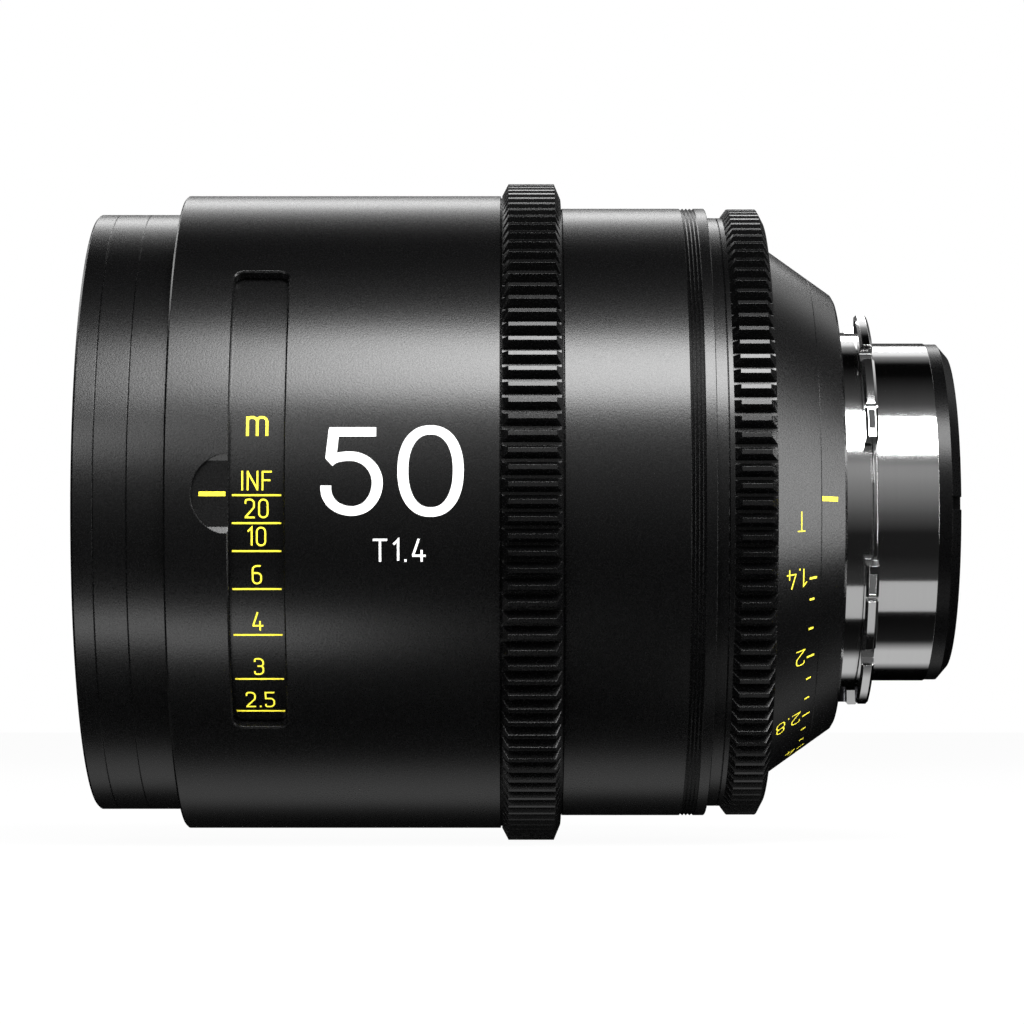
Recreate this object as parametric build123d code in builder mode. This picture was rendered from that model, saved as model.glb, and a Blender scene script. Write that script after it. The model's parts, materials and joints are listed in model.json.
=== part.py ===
from build123d import *
from math import ceil, cos, floor, pi, radians, sin, sqrt, tan
import os

# Cinema prime lens, in millimetres. The optical axis is X, the front of the lens is at
# negative x and the flange face of the mount is at zero. Angles round the axis are counted
# from the index side, which faces -Y, towards +Z.

# Stations along the axis, from the front to the rear
front_x = -121.6
filter_joint_x = -118.3
bezel_joint_x = -113.3
sleeve_x = -107.6
window_front_x = -98.0
window_rear_x = -89.8
focus_gear_x = -57.75
mid_barrel_x = -48.35
groove_band_x = -28.4
collar_x = -25.6
iris_gear_x = -23.75
cone_x = -16.5
cover_x = -9.4
neck_x = -5.2
tube_length = 9.5
rear_x = 13.1

# Outer radii: the front clamp seat and the mount tube, and the steps from them
front_radius = 47.5
sleeve_step = 3.0
mid_step = 2.0
collar_step = 1.5
cone_step = 4.5
tube_radius = 27.0
neck_step = 1.7
rim_step = 2.0
tab_step = 5.1
cover_step = 5.8
rear_ring_step = 0.15
sleeve_radius = front_radius + sleeve_step
mid_radius = sleeve_radius - mid_step
collar_radius = mid_radius - collar_step
cone_radius = collar_radius - cone_step
neck_radius = tube_radius + neck_step
flange_rim_radius = tube_radius + rim_step
flange_tab_radius = tube_radius + tab_step
cover_radius = neck_radius + cover_step
rear_ring_radius = tube_radius - rear_ring_step

# Gaps and fits
ring_gap = 0.2
cover_gap = 0.1
bearing_gap = 0.08
seat_gap = 0.02
slot_gap = 0.05
screw_gap = 0.05
overrun = 1.0

# Walls
sleeve_wall = 1.3
drum_gap = 0.3
drum_wall = 2.62
barrel_wall = 2.3
mid_wall = 2.0
mid_seat_step = 0.4
iris_sleeve_wall = 1.58
iris_barrel_wall = 2.92
gear_wall = 1.0
tube_wall = 1.3

# Joint lines and edges
joint_chamfer = 0.1
edge_chamfer = 0.35
groove_depth = 0.29
groove_pitch = 0.58
groove_count = 4

# Focus window, and the index recess ahead of it
window_half_angle = 43.0
window_corner = 1.6
window_bevel = 0.22
recess_radius = 6.1
recess_shift = 0.5
recess_depth = 0.85
recess_floor_half_width = 4.9
recess_top_half_width = 6.5
sleeve_edge = 0.3
sleeve_seat_length = 7.1
sleeve_seat_depth = 0.6

# Follow gears
gear_module = 0.8
tooth_flank_angle = 20.0
tooth_root_share = 1.25
gear_bevel_length = 1.0
gear_bevel_depth = 1.9
gear_hub_bevel_depth = 1.35
gear_hub_length = 0.7
gear_rear_bevel_depth = 2.4

# Focus mechanism
focus_turn = 254.0
focus_travel = 6.5
follower_x = -74.5
follower_radius = 2.0
follower_root_depth = 3.8
cam_angle = 90.0
drum_front_gap = 0.3

# Iris mechanism
iris_turn = 176.8
key_travel = 10.0
key_x = -39.5
key_length = 5.0
key_width = 4.0
key_pin_radius = 1.5
actuator_turn = 26.0
actuator_wall = 2.92
actuator_clearance = 4.0

# Socket screws
screw_head_radius = 1.15
screw_head_height = 1.1
screw_radius = 0.6
screw_socket_radius = 0.55
screw_socket_depth = 0.6
screw_length = 4.0
screw_first_angle = 45.0

# Radii worked out from the outside inwards
sleeve_bore = sleeve_radius - sleeve_wall
sleeve_seat_radius = front_radius - sleeve_seat_depth
drum_radius = sleeve_bore - drum_gap
drum_bore = drum_radius - drum_wall
barrel_radius = drum_bore - bearing_gap
barrel_bore = barrel_radius - barrel_wall
focus_cell_radius = barrel_bore - bearing_gap
follower_root_radius = focus_cell_radius - follower_root_depth
mid_bore = mid_radius - mid_wall
web_radius = mid_bore - mid_seat_step
focus_gear_bore = drum_radius + seat_gap
focus_teeth = ceil(2 * (sleeve_radius / gear_module + tooth_root_share))
iris_teeth = floor(2 * (mid_radius / gear_module - 1))
iris_root_radius = gear_module * (iris_teeth / 2 - tooth_root_share)
iris_gear_bore = iris_root_radius - gear_wall
iris_sleeve_radius = iris_gear_bore - seat_gap
iris_sleeve_bore = iris_sleeve_radius - iris_sleeve_wall
iris_barrel_radius = iris_sleeve_bore - bearing_gap
iris_barrel_bore = iris_barrel_radius - iris_barrel_wall
actuator_radius = iris_barrel_bore - actuator_clearance
actuator_bore = actuator_radius - actuator_wall
tube_bore = tube_radius - tube_wall
cone_slope = (cone_radius - cover_radius) / (neck_x - cone_x)


def cone_at(x):
    """Radius of the rear cone at a station."""
    return cone_radius - cone_slope * (x - cone_x)


def around(angle):
    """Direction square to the axis, at an angle from the index side."""
    return Vector(0, -cos(radians(angle)), sin(radians(angle)))


def turned(*outline, mode=Mode.ADD):
    """Solid of revolution about the axis from (x, radius) points."""
    with BuildSketch(Plane.XY) as section:
        with BuildLine():
            Polyline(*outline, close=True)
        make_face()
    revolve(section.sketch, axis=Axis.X, mode=mode)


def ring(front, rear, bore, outer, mode=Mode.ADD):
    """Plain ring between two stations."""
    turned((front, bore), (rear, bore), (rear, outer), (front, outer), mode=mode)


def sagitta(curve, radius):
    """Depth of a spherical surface at a radius, signed like its curve."""
    return curve - sqrt(curve * curve - radius * radius) * (1 if curve > 0 else -1)


def touch(curve, edge, inner):
    """Depth at which a flat seat, from an inner radius to the edge, meets a glass surface."""
    return sagitta(curve, inner if curve > 0 else edge)


def glass(front, thickness, edge, front_curve, rear_curve):
    """Glass element: front vertex, centre thickness, edge radius, and convex curves positive."""
    rear = front + thickness
    middle = edge / 2
    front_edge = (front + sagitta(front_curve, edge), edge)
    rear_edge = (rear - sagitta(rear_curve, edge), edge)
    with BuildSketch(Plane.XY) as section:
        with BuildLine():
            Line((front, 0), (rear, 0))
            ThreePointArc((rear, 0), (rear - sagitta(rear_curve, middle), middle), rear_edge)
            Line(rear_edge, front_edge)
            ThreePointArc(front_edge, (front + sagitta(front_curve, middle), middle), (front, 0))
        make_face()
    revolve(section.sketch, axis=Axis.X)


def discs(x, circle, count, radius, depth, first_angle=0.0, mode=Mode.ADD):
    """Round bars along the axis on a circle, from a station, to the rear where depth is positive."""
    with BuildSketch(Plane.YZ.offset(x)) as spots:
        with PolarLocations(circle, count, first_angle):
            Circle(radius)
    extrude(spots.sketch, amount=depth, mode=mode)


def screws(seat, circle, count, towards=1, first_angle=0.0, length=screw_length):
    """Socket screws on a circle. Heads stand on the seat, and shanks run towards the rear for 1."""
    discs(seat, circle, count, screw_head_radius, -towards * screw_head_height, first_angle)
    discs(seat, circle, count, screw_radius, towards * length, first_angle)
    with BuildSketch(Plane.YZ.offset(seat - towards * screw_head_height)) as sockets:
        with PolarLocations(circle, count, first_angle):
            RegularPolygon(screw_socket_radius, 6)
    extrude(sockets.sketch, amount=towards * screw_socket_depth, mode=Mode.SUBTRACT)


def screw_holes(
    seat, circle, count, head_depth, towards=1, first_angle=0.0, length=screw_length
):
    """Clearance for the same screws: shank holes from the seat and counterbores ahead of it."""
    shank = screw_radius + screw_gap
    head = screw_head_radius + screw_gap
    discs(seat, circle, count, shank, towards * (length + screw_gap), first_angle, Mode.SUBTRACT)
    if head_depth > 0:
        discs(seat, circle, count, head, -towards * head_depth, first_angle, Mode.SUBTRACT)


def radial_bar(x, angle, inner, outer, radius, mode=Mode.ADD):
    """Round bar square to the axis."""
    start = Plane(origin=Vector(x, 0, 0) + around(angle) * inner, x_dir=(1, 0, 0), z_dir=around(angle))
    with BuildSketch(start) as spot:
        Circle(radius)
    extrude(spot.sketch, amount=outer - inner, mode=mode)


def straight_slot(front, rear, angle, inner, outer, width, mode=Mode.SUBTRACT):
    """Slot along the axis through a wall, or a block of that shape, from end to end."""
    middle = (front + rear) / 2
    start = Plane(origin=Vector(middle, 0, 0) + around(angle) * inner, x_dir=(1, 0, 0), z_dir=around(angle))
    with BuildSketch(start) as opening:
        Rectangle(rear - front, width)
    extrude(opening.sketch, amount=outer - inner, mode=mode)


def helical_slot(x, travel, angle, turn, inner, outer, radius):
    """Helical slot through a wall. It starts at a station and an angle, and falls back by turn."""
    towards = 1 if travel > 0 else -1
    start = Plane(origin=(x, 0, 0), x_dir=around(angle), z_dir=(towards, 0, 0))
    with BuildLine() as route:
        Helix(
            pitch=abs(travel) * 360 / turn,
            height=abs(travel),
            radius=(inner + outer) / 2,
            lefthand=travel < 0,
        )
    path = route.line.moved(start.location)
    with BuildSketch(Plane(origin=path @ 0, x_dir=around(angle), z_dir=path % 0)) as section:
        Rectangle(outer - inner, 2 * radius)
    sweep(section.sketch, path=path, is_frenet=True, mode=Mode.SUBTRACT)
    radial_bar(x, angle, inner, outer, radius, Mode.SUBTRACT)
    radial_bar(x + travel, angle - turn, inner, outer, radius, Mode.SUBTRACT)


def gear_ring(front, rear, bore, teeth, front_bevel_depth, rear_bevel_depth):
    """Toothed ring with straight flanks and bevelled ends."""
    pitch_radius = gear_module * teeth / 2
    tip_radius = pitch_radius + gear_module
    root_radius = pitch_radius - tooth_root_share * gear_module
    flank = tan(radians(tooth_flank_angle))
    half_tip = (pi * gear_module / 4 - gear_module * flank) / tip_radius
    half_root = (pi * gear_module / 4 + tooth_root_share * gear_module * flank) / root_radius
    corners = []
    for tooth in range(teeth):
        centre = 2 * pi * tooth / teeth
        for radius, offset in (
            (root_radius, -half_root),
            (tip_radius, -half_tip),
            (tip_radius, half_tip),
            (root_radius, half_root),
        ):
            corners.append((radius * cos(centre + offset), radius * sin(centre + offset)))
    with BuildSketch(Plane.YZ.offset(front)) as teeth_section:
        with BuildLine():
            Polyline(*corners, close=True)
        make_face()
        Circle(bore, mode=Mode.SUBTRACT)
    extrude(teeth_section.sketch, amount=rear - front)
    turned(
        (front, bore - overrun),
        (rear, bore - overrun),
        (rear, tip_radius - rear_bevel_depth),
        (rear - gear_bevel_length, tip_radius),
        (front + gear_bevel_length, tip_radius),
        (front, tip_radius - front_bevel_depth),
        mode=Mode.INTERSECT,
    )


def save(piece, name):
    """Label a finished piece and write its file."""
    piece.part.label = name
    export_step(piece.part, f"parts/{name}.step")


os.makedirs("parts", exist_ok=True)

# Filter ring, with the filter thread's bore
front_wall = 5.0
filter_spigot_step = 1.4
thread_relief = 0.6
thread_length = 3.5
thread_bore = front_radius - front_wall
thread_end_x = front_x + thread_length
thread_chamfer = 0.5
filter_spigot_length = 2.8
bezel_bore = thread_bore + filter_spigot_step

with BuildPart() as filter_ring:
    turned(
        (front_x, thread_bore + thread_chamfer),
        (front_x + thread_chamfer, thread_bore),
        (thread_end_x, thread_bore),
        (thread_end_x, thread_bore + thread_relief),
        (filter_joint_x + filter_spigot_length, thread_bore + thread_relief),
        (filter_joint_x + filter_spigot_length, bezel_bore - seat_gap),
        (filter_joint_x, bezel_bore - seat_gap),
        (filter_joint_x, front_radius - joint_chamfer),
        (filter_joint_x - joint_chamfer, front_radius),
        (front_x + edge_chamfer, front_radius),
        (front_x, front_radius - edge_chamfer),
    )
save(filter_ring, "filter_ring")

# Front bezel, between the two front joint lines
bezel_spigot_length = 3.0
bezel_step = 0.5
bezel_wall = 2.5
front_barrel_bore = bezel_bore + bezel_step
bezel_rear_bore = front_barrel_bore - bezel_wall

with BuildPart() as front_bezel:
    turned(
        (filter_joint_x, bezel_bore),
        (filter_joint_x + filter_spigot_length + seat_gap, bezel_bore),
        (filter_joint_x + filter_spigot_length + seat_gap, bezel_rear_bore),
        (bezel_joint_x + bezel_spigot_length, bezel_rear_bore),
        (bezel_joint_x + bezel_spigot_length, front_barrel_bore - seat_gap),
        (bezel_joint_x, front_barrel_bore - seat_gap),
        (bezel_joint_x, front_radius - joint_chamfer),
        (bezel_joint_x - joint_chamfer, front_radius),
        (filter_joint_x + joint_chamfer, front_radius),
        (filter_joint_x, front_radius - joint_chamfer),
    )
save(front_bezel, "front_bezel")

# Front barrel: it carries the sleeve outside, the front cell inside and the main barrel behind
front_shoulder_x = -106.0
main_barrel_front_x = -104.0
front_barrel_rear_x = -100.2
front_shoulder_depth = 4.0
front_shoulder_bore = barrel_bore - front_shoulder_depth
front_screw_circle = (barrel_bore + barrel_radius) / 2
front_screw_count = 4

with BuildPart() as front_barrel:
    turned(
        (bezel_joint_x, front_barrel_bore),
        (front_shoulder_x, front_barrel_bore),
        (front_shoulder_x, front_shoulder_bore),
        (main_barrel_front_x, front_shoulder_bore),
        (main_barrel_front_x, barrel_radius + seat_gap),
        (front_barrel_rear_x, barrel_radius + seat_gap),
        (front_barrel_rear_x, sleeve_seat_radius),
        (sleeve_x, sleeve_seat_radius),
        (sleeve_x, front_radius),
        (bezel_joint_x + joint_chamfer, front_radius),
        (bezel_joint_x, front_radius - joint_chamfer),
    )
    screw_holes(
        front_shoulder_x, front_screw_circle, front_screw_count, front_shoulder_x - bezel_joint_x
    )
save(front_barrel, "front_barrel")

with BuildPart() as front_screws:
    screws(front_shoulder_x, front_screw_circle, front_screw_count)
save(front_screws, "front_screws")

# Outer sleeve, with the focus window and the index recess
sleeve_rear_x = focus_gear_x - ring_gap / 2

recess_floor_radius = sleeve_radius - recess_depth
recess_corners = (
    (-recess_floor_radius, -recess_floor_half_width),
    (-sleeve_radius, -recess_top_half_width),
    (-sleeve_radius - overrun, -recess_top_half_width),
    (-sleeve_radius - overrun, recess_top_half_width),
    (-sleeve_radius, recess_top_half_width),
    (-recess_floor_radius, recess_floor_half_width),
)

with BuildPart() as recess_cut:
    with BuildSketch(Plane.YZ.offset(window_front_x + recess_shift - recess_radius)):
        with BuildLine():
            Polyline(*recess_corners, close=True)
        make_face()
    extrude(amount=2 * recess_radius)
    recess_plane = Plane(
        origin=Vector(window_front_x + recess_shift, 0, 0) + around(0) * recess_floor_radius,
        x_dir=(1, 0, 0),
        z_dir=around(0),
    )
    with BuildSketch(recess_plane) as recess_section:
        Circle(recess_radius)
    extrude(
        recess_section.sketch, amount=recess_depth + 2 * overrun, both=True, mode=Mode.INTERSECT
    )

with BuildPart() as outer_sleeve:
    turned(
        (sleeve_x, sleeve_seat_radius + seat_gap),
        (sleeve_x + sleeve_seat_length, sleeve_seat_radius + seat_gap),
        (sleeve_x + sleeve_seat_length, sleeve_bore),
        (sleeve_rear_x, sleeve_bore),
        (sleeve_rear_x, sleeve_radius - joint_chamfer),
        (sleeve_rear_x - joint_chamfer, sleeve_radius),
        (sleeve_x + sleeve_edge, sleeve_radius),
        (sleeve_x, sleeve_radius - sleeve_edge),
    )
    with BuildSketch(Plane.XZ) as window_section:
        with BuildLine():
            Polyline(
                (window_front_x, sleeve_bore - drum_gap / 2),
                (window_rear_x, sleeve_bore - drum_gap / 2),
                (window_rear_x, sleeve_radius + overrun),
                (window_front_x, sleeve_radius + overrun),
                close=True,
            )
        make_face()
    window_start = window_section.sketch.rotate(Axis.X, 90 - window_half_angle)
    revolve(window_start, axis=Axis.X, revolution_arc=2 * window_half_angle, mode=Mode.SUBTRACT)
    short_edges = outer_sleeve.edges().filter_by(GeomType.LINE).filter_by(
        lambda edge: edge.length < 2 * sleeve_wall
    )
    window_corners = short_edges.filter_by_position(
        Axis.X, window_front_x - seat_gap, window_rear_x + seat_gap
    )
    fillet(window_corners, radius=window_corner)
    window_rim = outer_sleeve.edges().filter_by(
        lambda edge: window_front_x - seat_gap < edge.center().X < window_rear_x + seat_gap
        and all(
            abs(sqrt(spot.Y * spot.Y + spot.Z * spot.Z) - sleeve_radius) < seat_gap
            for spot in (edge @ 0, edge @ 0.5, edge @ 1)
        )
    )
    chamfer(window_rim, length=window_bevel)
    add(recess_cut.part, mode=Mode.SUBTRACT)
save(outer_sleeve, "outer_sleeve")

# Main barrel: the focus half, a web behind the focus bearing, and the narrower iris half
web_x = -50.0
iris_seat_x = -45.5
web_rear_x = -46.8
iris_bearing_rear_x = -19.1
barrel_shoulder_x = -24.9
barrel_rear_x = -12.0
iris_seat_step = 0.3
cover_wall = 1.97
neck_flange_radius = cone_at(cover_x + cover_gap / 2) - cover_wall
barrel_rear_radius = neck_flange_radius + 2 * slot_gap
rear_cell_pass_bore = 29.5
middle_screw_circle = (iris_barrel_bore + iris_seat_step + barrel_bore) / 2
middle_screw_count = 4
rear_cell_screw_circle = (actuator_bore + iris_barrel_bore) / 2
rear_cell_screw_count = 4
neck_screw_circle = (neck_radius + neck_flange_radius) / 2
neck_screw_count = 4
slot_end_gap = 0.3
follower_slot_radius = follower_radius + slot_gap
key_slot_half_length = key_length / 2 + slot_end_gap

with BuildPart() as main_barrel:
    turned(
        (main_barrel_front_x, barrel_bore),
        (web_x, barrel_bore),
        (web_x, iris_barrel_bore + iris_seat_step),
        (iris_seat_x, iris_barrel_bore + iris_seat_step),
        (iris_seat_x, iris_barrel_bore),
        (barrel_shoulder_x, iris_barrel_bore),
        (barrel_shoulder_x, rear_cell_pass_bore),
        (barrel_rear_x, rear_cell_pass_bore),
        (barrel_rear_x, barrel_rear_radius),
        (iris_bearing_rear_x, barrel_rear_radius),
        (iris_bearing_rear_x, iris_barrel_radius),
        (web_rear_x, iris_barrel_radius),
        (web_rear_x, web_radius),
        (mid_barrel_x, web_radius),
        (mid_barrel_x, barrel_radius),
        (main_barrel_front_x, barrel_radius),
    )
    straight_slot(
        follower_x - focus_travel, follower_x, cam_angle, barrel_bore - overrun,
        barrel_radius + overrun, 2 * follower_slot_radius,
    )
    for slot_end in (follower_x - focus_travel, follower_x):
        radial_bar(
            slot_end, cam_angle, barrel_bore - overrun, barrel_radius + overrun,
            follower_slot_radius, Mode.SUBTRACT,
        )
    straight_slot(
        key_x - key_slot_half_length, key_x + key_travel + key_slot_half_length, cam_angle,
        iris_barrel_bore - overrun, iris_barrel_radius + overrun, key_width + 2 * slot_gap,
    )
    screw_holes(main_barrel_front_x, front_screw_circle, front_screw_count, 0)
    screw_holes(web_x, middle_screw_circle, middle_screw_count, 0, 1, screw_first_angle)
    screw_holes(barrel_shoulder_x, rear_cell_screw_circle, rear_cell_screw_count, 0)
    screw_holes(barrel_rear_x, neck_screw_circle, neck_screw_count, 0, -1, screw_first_angle)
save(main_barrel, "main_barrel")

# Front cell and its glass, fixed inside the front barrel
front_cell_x = -112.4
front_cell_rear_x = -99.3
front_cell_gap = 0.4
front_cell_wall = 3.9
front_cell_radius = bezel_rear_bore - front_cell_gap
front_flange_length = 2.0
lens_gap = 0.03
lip = 1.2
cement_gap = 0.02
front_vertex_x = -116.5
front_thickness = 8.5
front_edge_radius = front_shoulder_bore - front_cell_wall
front_outer_curve = 110.0
front_inner_curve = -300.0
second_vertex_x = -107.0
second_thickness = 4.0
second_edge_step = 2.5
second_edge_radius = front_edge_radius - second_edge_step
second_front_curve = 160.0
second_rear_curve = -200.0
front_seat_bore = second_edge_radius + lens_gap
front_seat_x = (
    front_vertex_x + front_thickness
    - touch(front_inner_curve, front_edge_radius, front_seat_bore)
)
second_bore = second_edge_radius - lip
second_front_seat_x = second_vertex_x + touch(second_front_curve, second_edge_radius, second_bore)
second_seat_x = (
    second_vertex_x + second_thickness - touch(second_rear_curve, second_edge_radius, second_bore)
)
front_flange_radius = front_screw_circle - screw_head_radius - screw_gap

with BuildPart() as front_cell:
    turned(
        (front_cell_x, front_edge_radius + lens_gap),
        (front_seat_x, front_edge_radius + lens_gap),
        (front_seat_x, front_seat_bore),
        (second_seat_x, front_seat_bore),
        (second_seat_x, second_bore),
        (front_cell_rear_x, second_bore),
        (front_cell_rear_x, front_shoulder_bore - slot_gap),
        (front_shoulder_x, front_shoulder_bore - slot_gap),
        (front_shoulder_x, front_flange_radius),
        (front_shoulder_x - front_flange_length, front_flange_radius),
        (front_shoulder_x - front_flange_length, front_cell_radius),
        (front_cell_x, front_cell_radius),
    )
save(front_cell, "front_cell")

with BuildPart() as front_element:
    glass(
        front_vertex_x, front_thickness, front_edge_radius, front_outer_curve, front_inner_curve
    )
save(front_element, "front_element")

with BuildPart() as second_element:
    glass(
        second_vertex_x, second_thickness, second_edge_radius, second_front_curve,
        second_rear_curve,
    )
save(second_element, "second_element")

with BuildPart() as front_spacer:
    ring(front_seat_x, second_front_seat_x, second_bore, second_edge_radius)
save(front_spacer, "front_spacer")

# Conical ring round the front glass
retainer_front_x = -118.0
retainer_wall = 0.8
retainer_bore = front_edge_radius - lip
front_glass_x = front_vertex_x + touch(front_outer_curve, front_edge_radius, retainer_bore)

with BuildPart() as front_retainer:
    turned(
        (retainer_front_x, bezel_rear_bore - 2 * slot_gap - retainer_wall),
        (front_glass_x - retainer_wall, retainer_bore),
        (front_glass_x, retainer_bore),
        (front_glass_x, front_edge_radius),
        (front_cell_x, front_edge_radius),
        (front_cell_x, bezel_rear_bore - 2 * slot_gap),
        (retainer_front_x, bezel_rear_bore - 2 * slot_gap),
    )
save(front_retainer, "front_retainer")

# Focus cell: it slides in the main barrel and carries the moving glass
focus_cell_x = -91.5
focus_cell_rear_x = -68.5
focus_front_vertex_x = -91.0
focus_front_thickness = 12.5
focus_front_edge = 31.0
focus_front_outer_curve = 70.0
focus_front_inner_curve = 150.0
focus_rear_vertex_x = -77.9
focus_rear_thickness = 2.5
focus_rear_edge = 29.0
focus_rear_front_curve = -140.0
focus_rear_back_curve = -80.0
focus_retainer_length = 1.5
focus_retainer_bore = focus_front_edge - lip / 2
focus_seat_bore = focus_rear_edge + lens_gap
focus_rear_bore = focus_rear_edge - lip
focus_front_glass_x = focus_front_vertex_x + touch(
    focus_front_outer_curve, focus_front_edge, focus_retainer_bore
)
focus_front_seat_x = (
    focus_front_vertex_x + focus_front_thickness
    - touch(focus_front_inner_curve, focus_front_edge, focus_seat_bore)
)
focus_rear_seat_x = (
    focus_rear_vertex_x + focus_rear_thickness
    - touch(focus_rear_back_curve, focus_rear_edge, focus_rear_bore)
)

with BuildPart() as focus_cell:
    turned(
        (focus_cell_x, focus_front_edge + lens_gap),
        (focus_front_seat_x, focus_front_edge + lens_gap),
        (focus_front_seat_x, focus_seat_bore),
        (focus_rear_seat_x, focus_seat_bore),
        (focus_rear_seat_x, focus_rear_bore),
        (focus_cell_rear_x, focus_rear_bore),
        (focus_cell_rear_x, focus_cell_radius),
        (focus_cell_x, focus_cell_radius),
    )
    radial_bar(
        follower_x, cam_angle, follower_root_radius, barrel_bore, follower_radius + seat_gap,
        Mode.SUBTRACT,
    )
save(focus_cell, "focus_cell")

with BuildPart() as focus_element_front:
    glass(
        focus_front_vertex_x, focus_front_thickness, focus_front_edge, focus_front_outer_curve,
        focus_front_inner_curve,
    )
save(focus_element_front, "focus_element_front")

with BuildPart() as focus_element_rear:
    glass(
        focus_rear_vertex_x, focus_rear_thickness, focus_rear_edge, focus_rear_front_curve,
        focus_rear_back_curve,
    )
save(focus_element_rear, "focus_element_rear")

with BuildPart() as focus_retainer:
    ring(
        focus_front_glass_x - focus_retainer_length, focus_front_glass_x, focus_retainer_bore,
        focus_front_edge,
    )
save(focus_retainer, "focus_retainer")

with BuildPart() as focus_follower:
    radial_bar(
        follower_x, cam_angle, follower_root_radius, drum_radius - drum_gap, follower_radius
    )
save(focus_follower, "focus_follower")

# Focus ring: scale drum with the cam slot, gear ring and the grub screws between them
drum_front_x = front_barrel_rear_x + drum_front_gap
gear_front_x = focus_gear_x + ring_gap / 2
gear_rear_x = mid_barrel_x - ring_gap / 2
grub_radius = 0.5
grub_depth = 1.2
grub_count = 3
grub_angle = 100.0
grub_pitch_angle = 80.0
grub_x = (gear_front_x + gear_rear_x) / 2
focus_root_radius = gear_module * (focus_teeth / 2 - tooth_root_share)

with BuildPart() as focus_scale_drum:
    ring(drum_front_x, gear_rear_x, drum_bore, drum_radius)
    helical_slot(
        follower_x, -focus_travel, cam_angle, focus_turn, drum_bore - overrun,
        drum_radius + overrun, follower_radius + slot_gap,
    )
    for grub in range(grub_count):
        radial_bar(
            grub_x, grub_angle + grub_pitch_angle * grub, drum_radius - grub_depth - screw_gap,
            drum_radius + overrun, grub_radius + screw_gap, Mode.SUBTRACT,
        )
save(focus_scale_drum, "focus_scale_drum")

with BuildPart() as focus_gear_ring:
    gear_ring(
        gear_front_x, gear_rear_x, focus_gear_bore, focus_teeth, gear_bevel_depth,
        gear_rear_bevel_depth,
    )
    for grub in range(grub_count):
        radial_bar(
            grub_x, grub_angle + grub_pitch_angle * grub, drum_radius - grub_depth,
            sleeve_radius + 2 * gear_rear_bevel_depth, grub_radius + screw_gap, Mode.SUBTRACT,
        )
save(focus_gear_ring, "focus_gear_ring")

with BuildPart() as focus_ring_screws:
    for grub in range(grub_count):
        radial_bar(
            grub_x, grub_angle + grub_pitch_angle * grub, drum_radius - grub_depth,
            focus_root_radius - screw_gap, grub_radius,
        )
save(focus_ring_screws, "focus_ring_screws")

# Mid barrel, with its seat on the web and a band of fine grooves
mid_front_x = mid_barrel_x + ring_gap / 2
groove_band_rear_x = groove_band_x + groove_count / 2 * groove_pitch
groove_outline = [(groove_band_rear_x, mid_radius)]
for groove in range(groove_count):
    groove_rear_x = groove_band_rear_x - groove * groove_pitch
    groove_outline.append((groove_rear_x - groove_pitch / 2, mid_radius - groove_depth))
    groove_outline.append((groove_rear_x - groove_pitch, mid_radius))

with BuildPart() as mid_barrel:
    turned(
        (mid_front_x, web_radius + seat_gap),
        (web_rear_x, web_radius + seat_gap),
        (web_rear_x, mid_bore),
        (collar_x, mid_bore),
        (collar_x, mid_radius - joint_chamfer),
        (collar_x - joint_chamfer, mid_radius),
        *groove_outline,
        (mid_front_x + joint_chamfer, mid_radius),
        (mid_front_x, mid_radius - joint_chamfer),
    )
save(mid_barrel, "mid_barrel")

collar_spigot_length = 2.0
collar_bore = iris_sleeve_radius + ring_gap

with BuildPart() as collar_ring:
    ring(collar_x, iris_gear_x - ring_gap / 2, collar_bore, collar_radius)
    ring(collar_x - collar_spigot_length, collar_x, collar_bore, mid_bore - seat_gap)
save(collar_ring, "collar_ring")

# Middle cell and its glass, fixed ahead of the iris
middle_cell_x = -66.0
middle_cell_rear_x = -47.0
middle_flange_length = 2.0
middle_vertex_x = -64.5
middle_thickness = 12.0
middle_edge = 26.0
middle_front_curve = 45.0
middle_rear_curve = -200.0
middle_tube_wall = 3.0
middle_retainer_length = 1.5
middle_bore = middle_edge - lip
middle_glass_x = middle_vertex_x + touch(middle_front_curve, middle_edge, middle_bore)
middle_seat_x = (
    middle_vertex_x + middle_thickness - touch(middle_rear_curve, middle_edge, middle_bore)
)

with BuildPart() as middle_cell:
    turned(
        (middle_cell_x, middle_edge + lens_gap),
        (middle_seat_x, middle_edge + lens_gap),
        (middle_seat_x, middle_bore),
        (middle_cell_rear_x, middle_bore),
        (middle_cell_rear_x, iris_barrel_bore + iris_seat_step - slot_gap),
        (web_x, iris_barrel_bore + iris_seat_step - slot_gap),
        (web_x, barrel_bore - slot_gap),
        (web_x - middle_flange_length, barrel_bore - slot_gap),
        (web_x - middle_flange_length, middle_edge + middle_tube_wall),
        (middle_cell_x, middle_edge + middle_tube_wall),
    )
    screw_holes(
        web_x - middle_flange_length + screw_head_height, middle_screw_circle,
        middle_screw_count, screw_head_height + overrun, 1, screw_first_angle,
    )
save(middle_cell, "middle_cell")

with BuildPart() as middle_element:
    glass(middle_vertex_x, middle_thickness, middle_edge, middle_front_curve, middle_rear_curve)
save(middle_element, "middle_element")

with BuildPart() as middle_retainer:
    ring(middle_glass_x - middle_retainer_length, middle_glass_x, middle_bore, middle_edge)
save(middle_retainer, "middle_retainer")

with BuildPart() as middle_cell_screws:
    screws(
        web_x - middle_flange_length + screw_head_height, middle_screw_circle,
        middle_screw_count, 1, screw_first_angle,
    )
save(middle_cell_screws, "middle_cell_screws")

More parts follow.
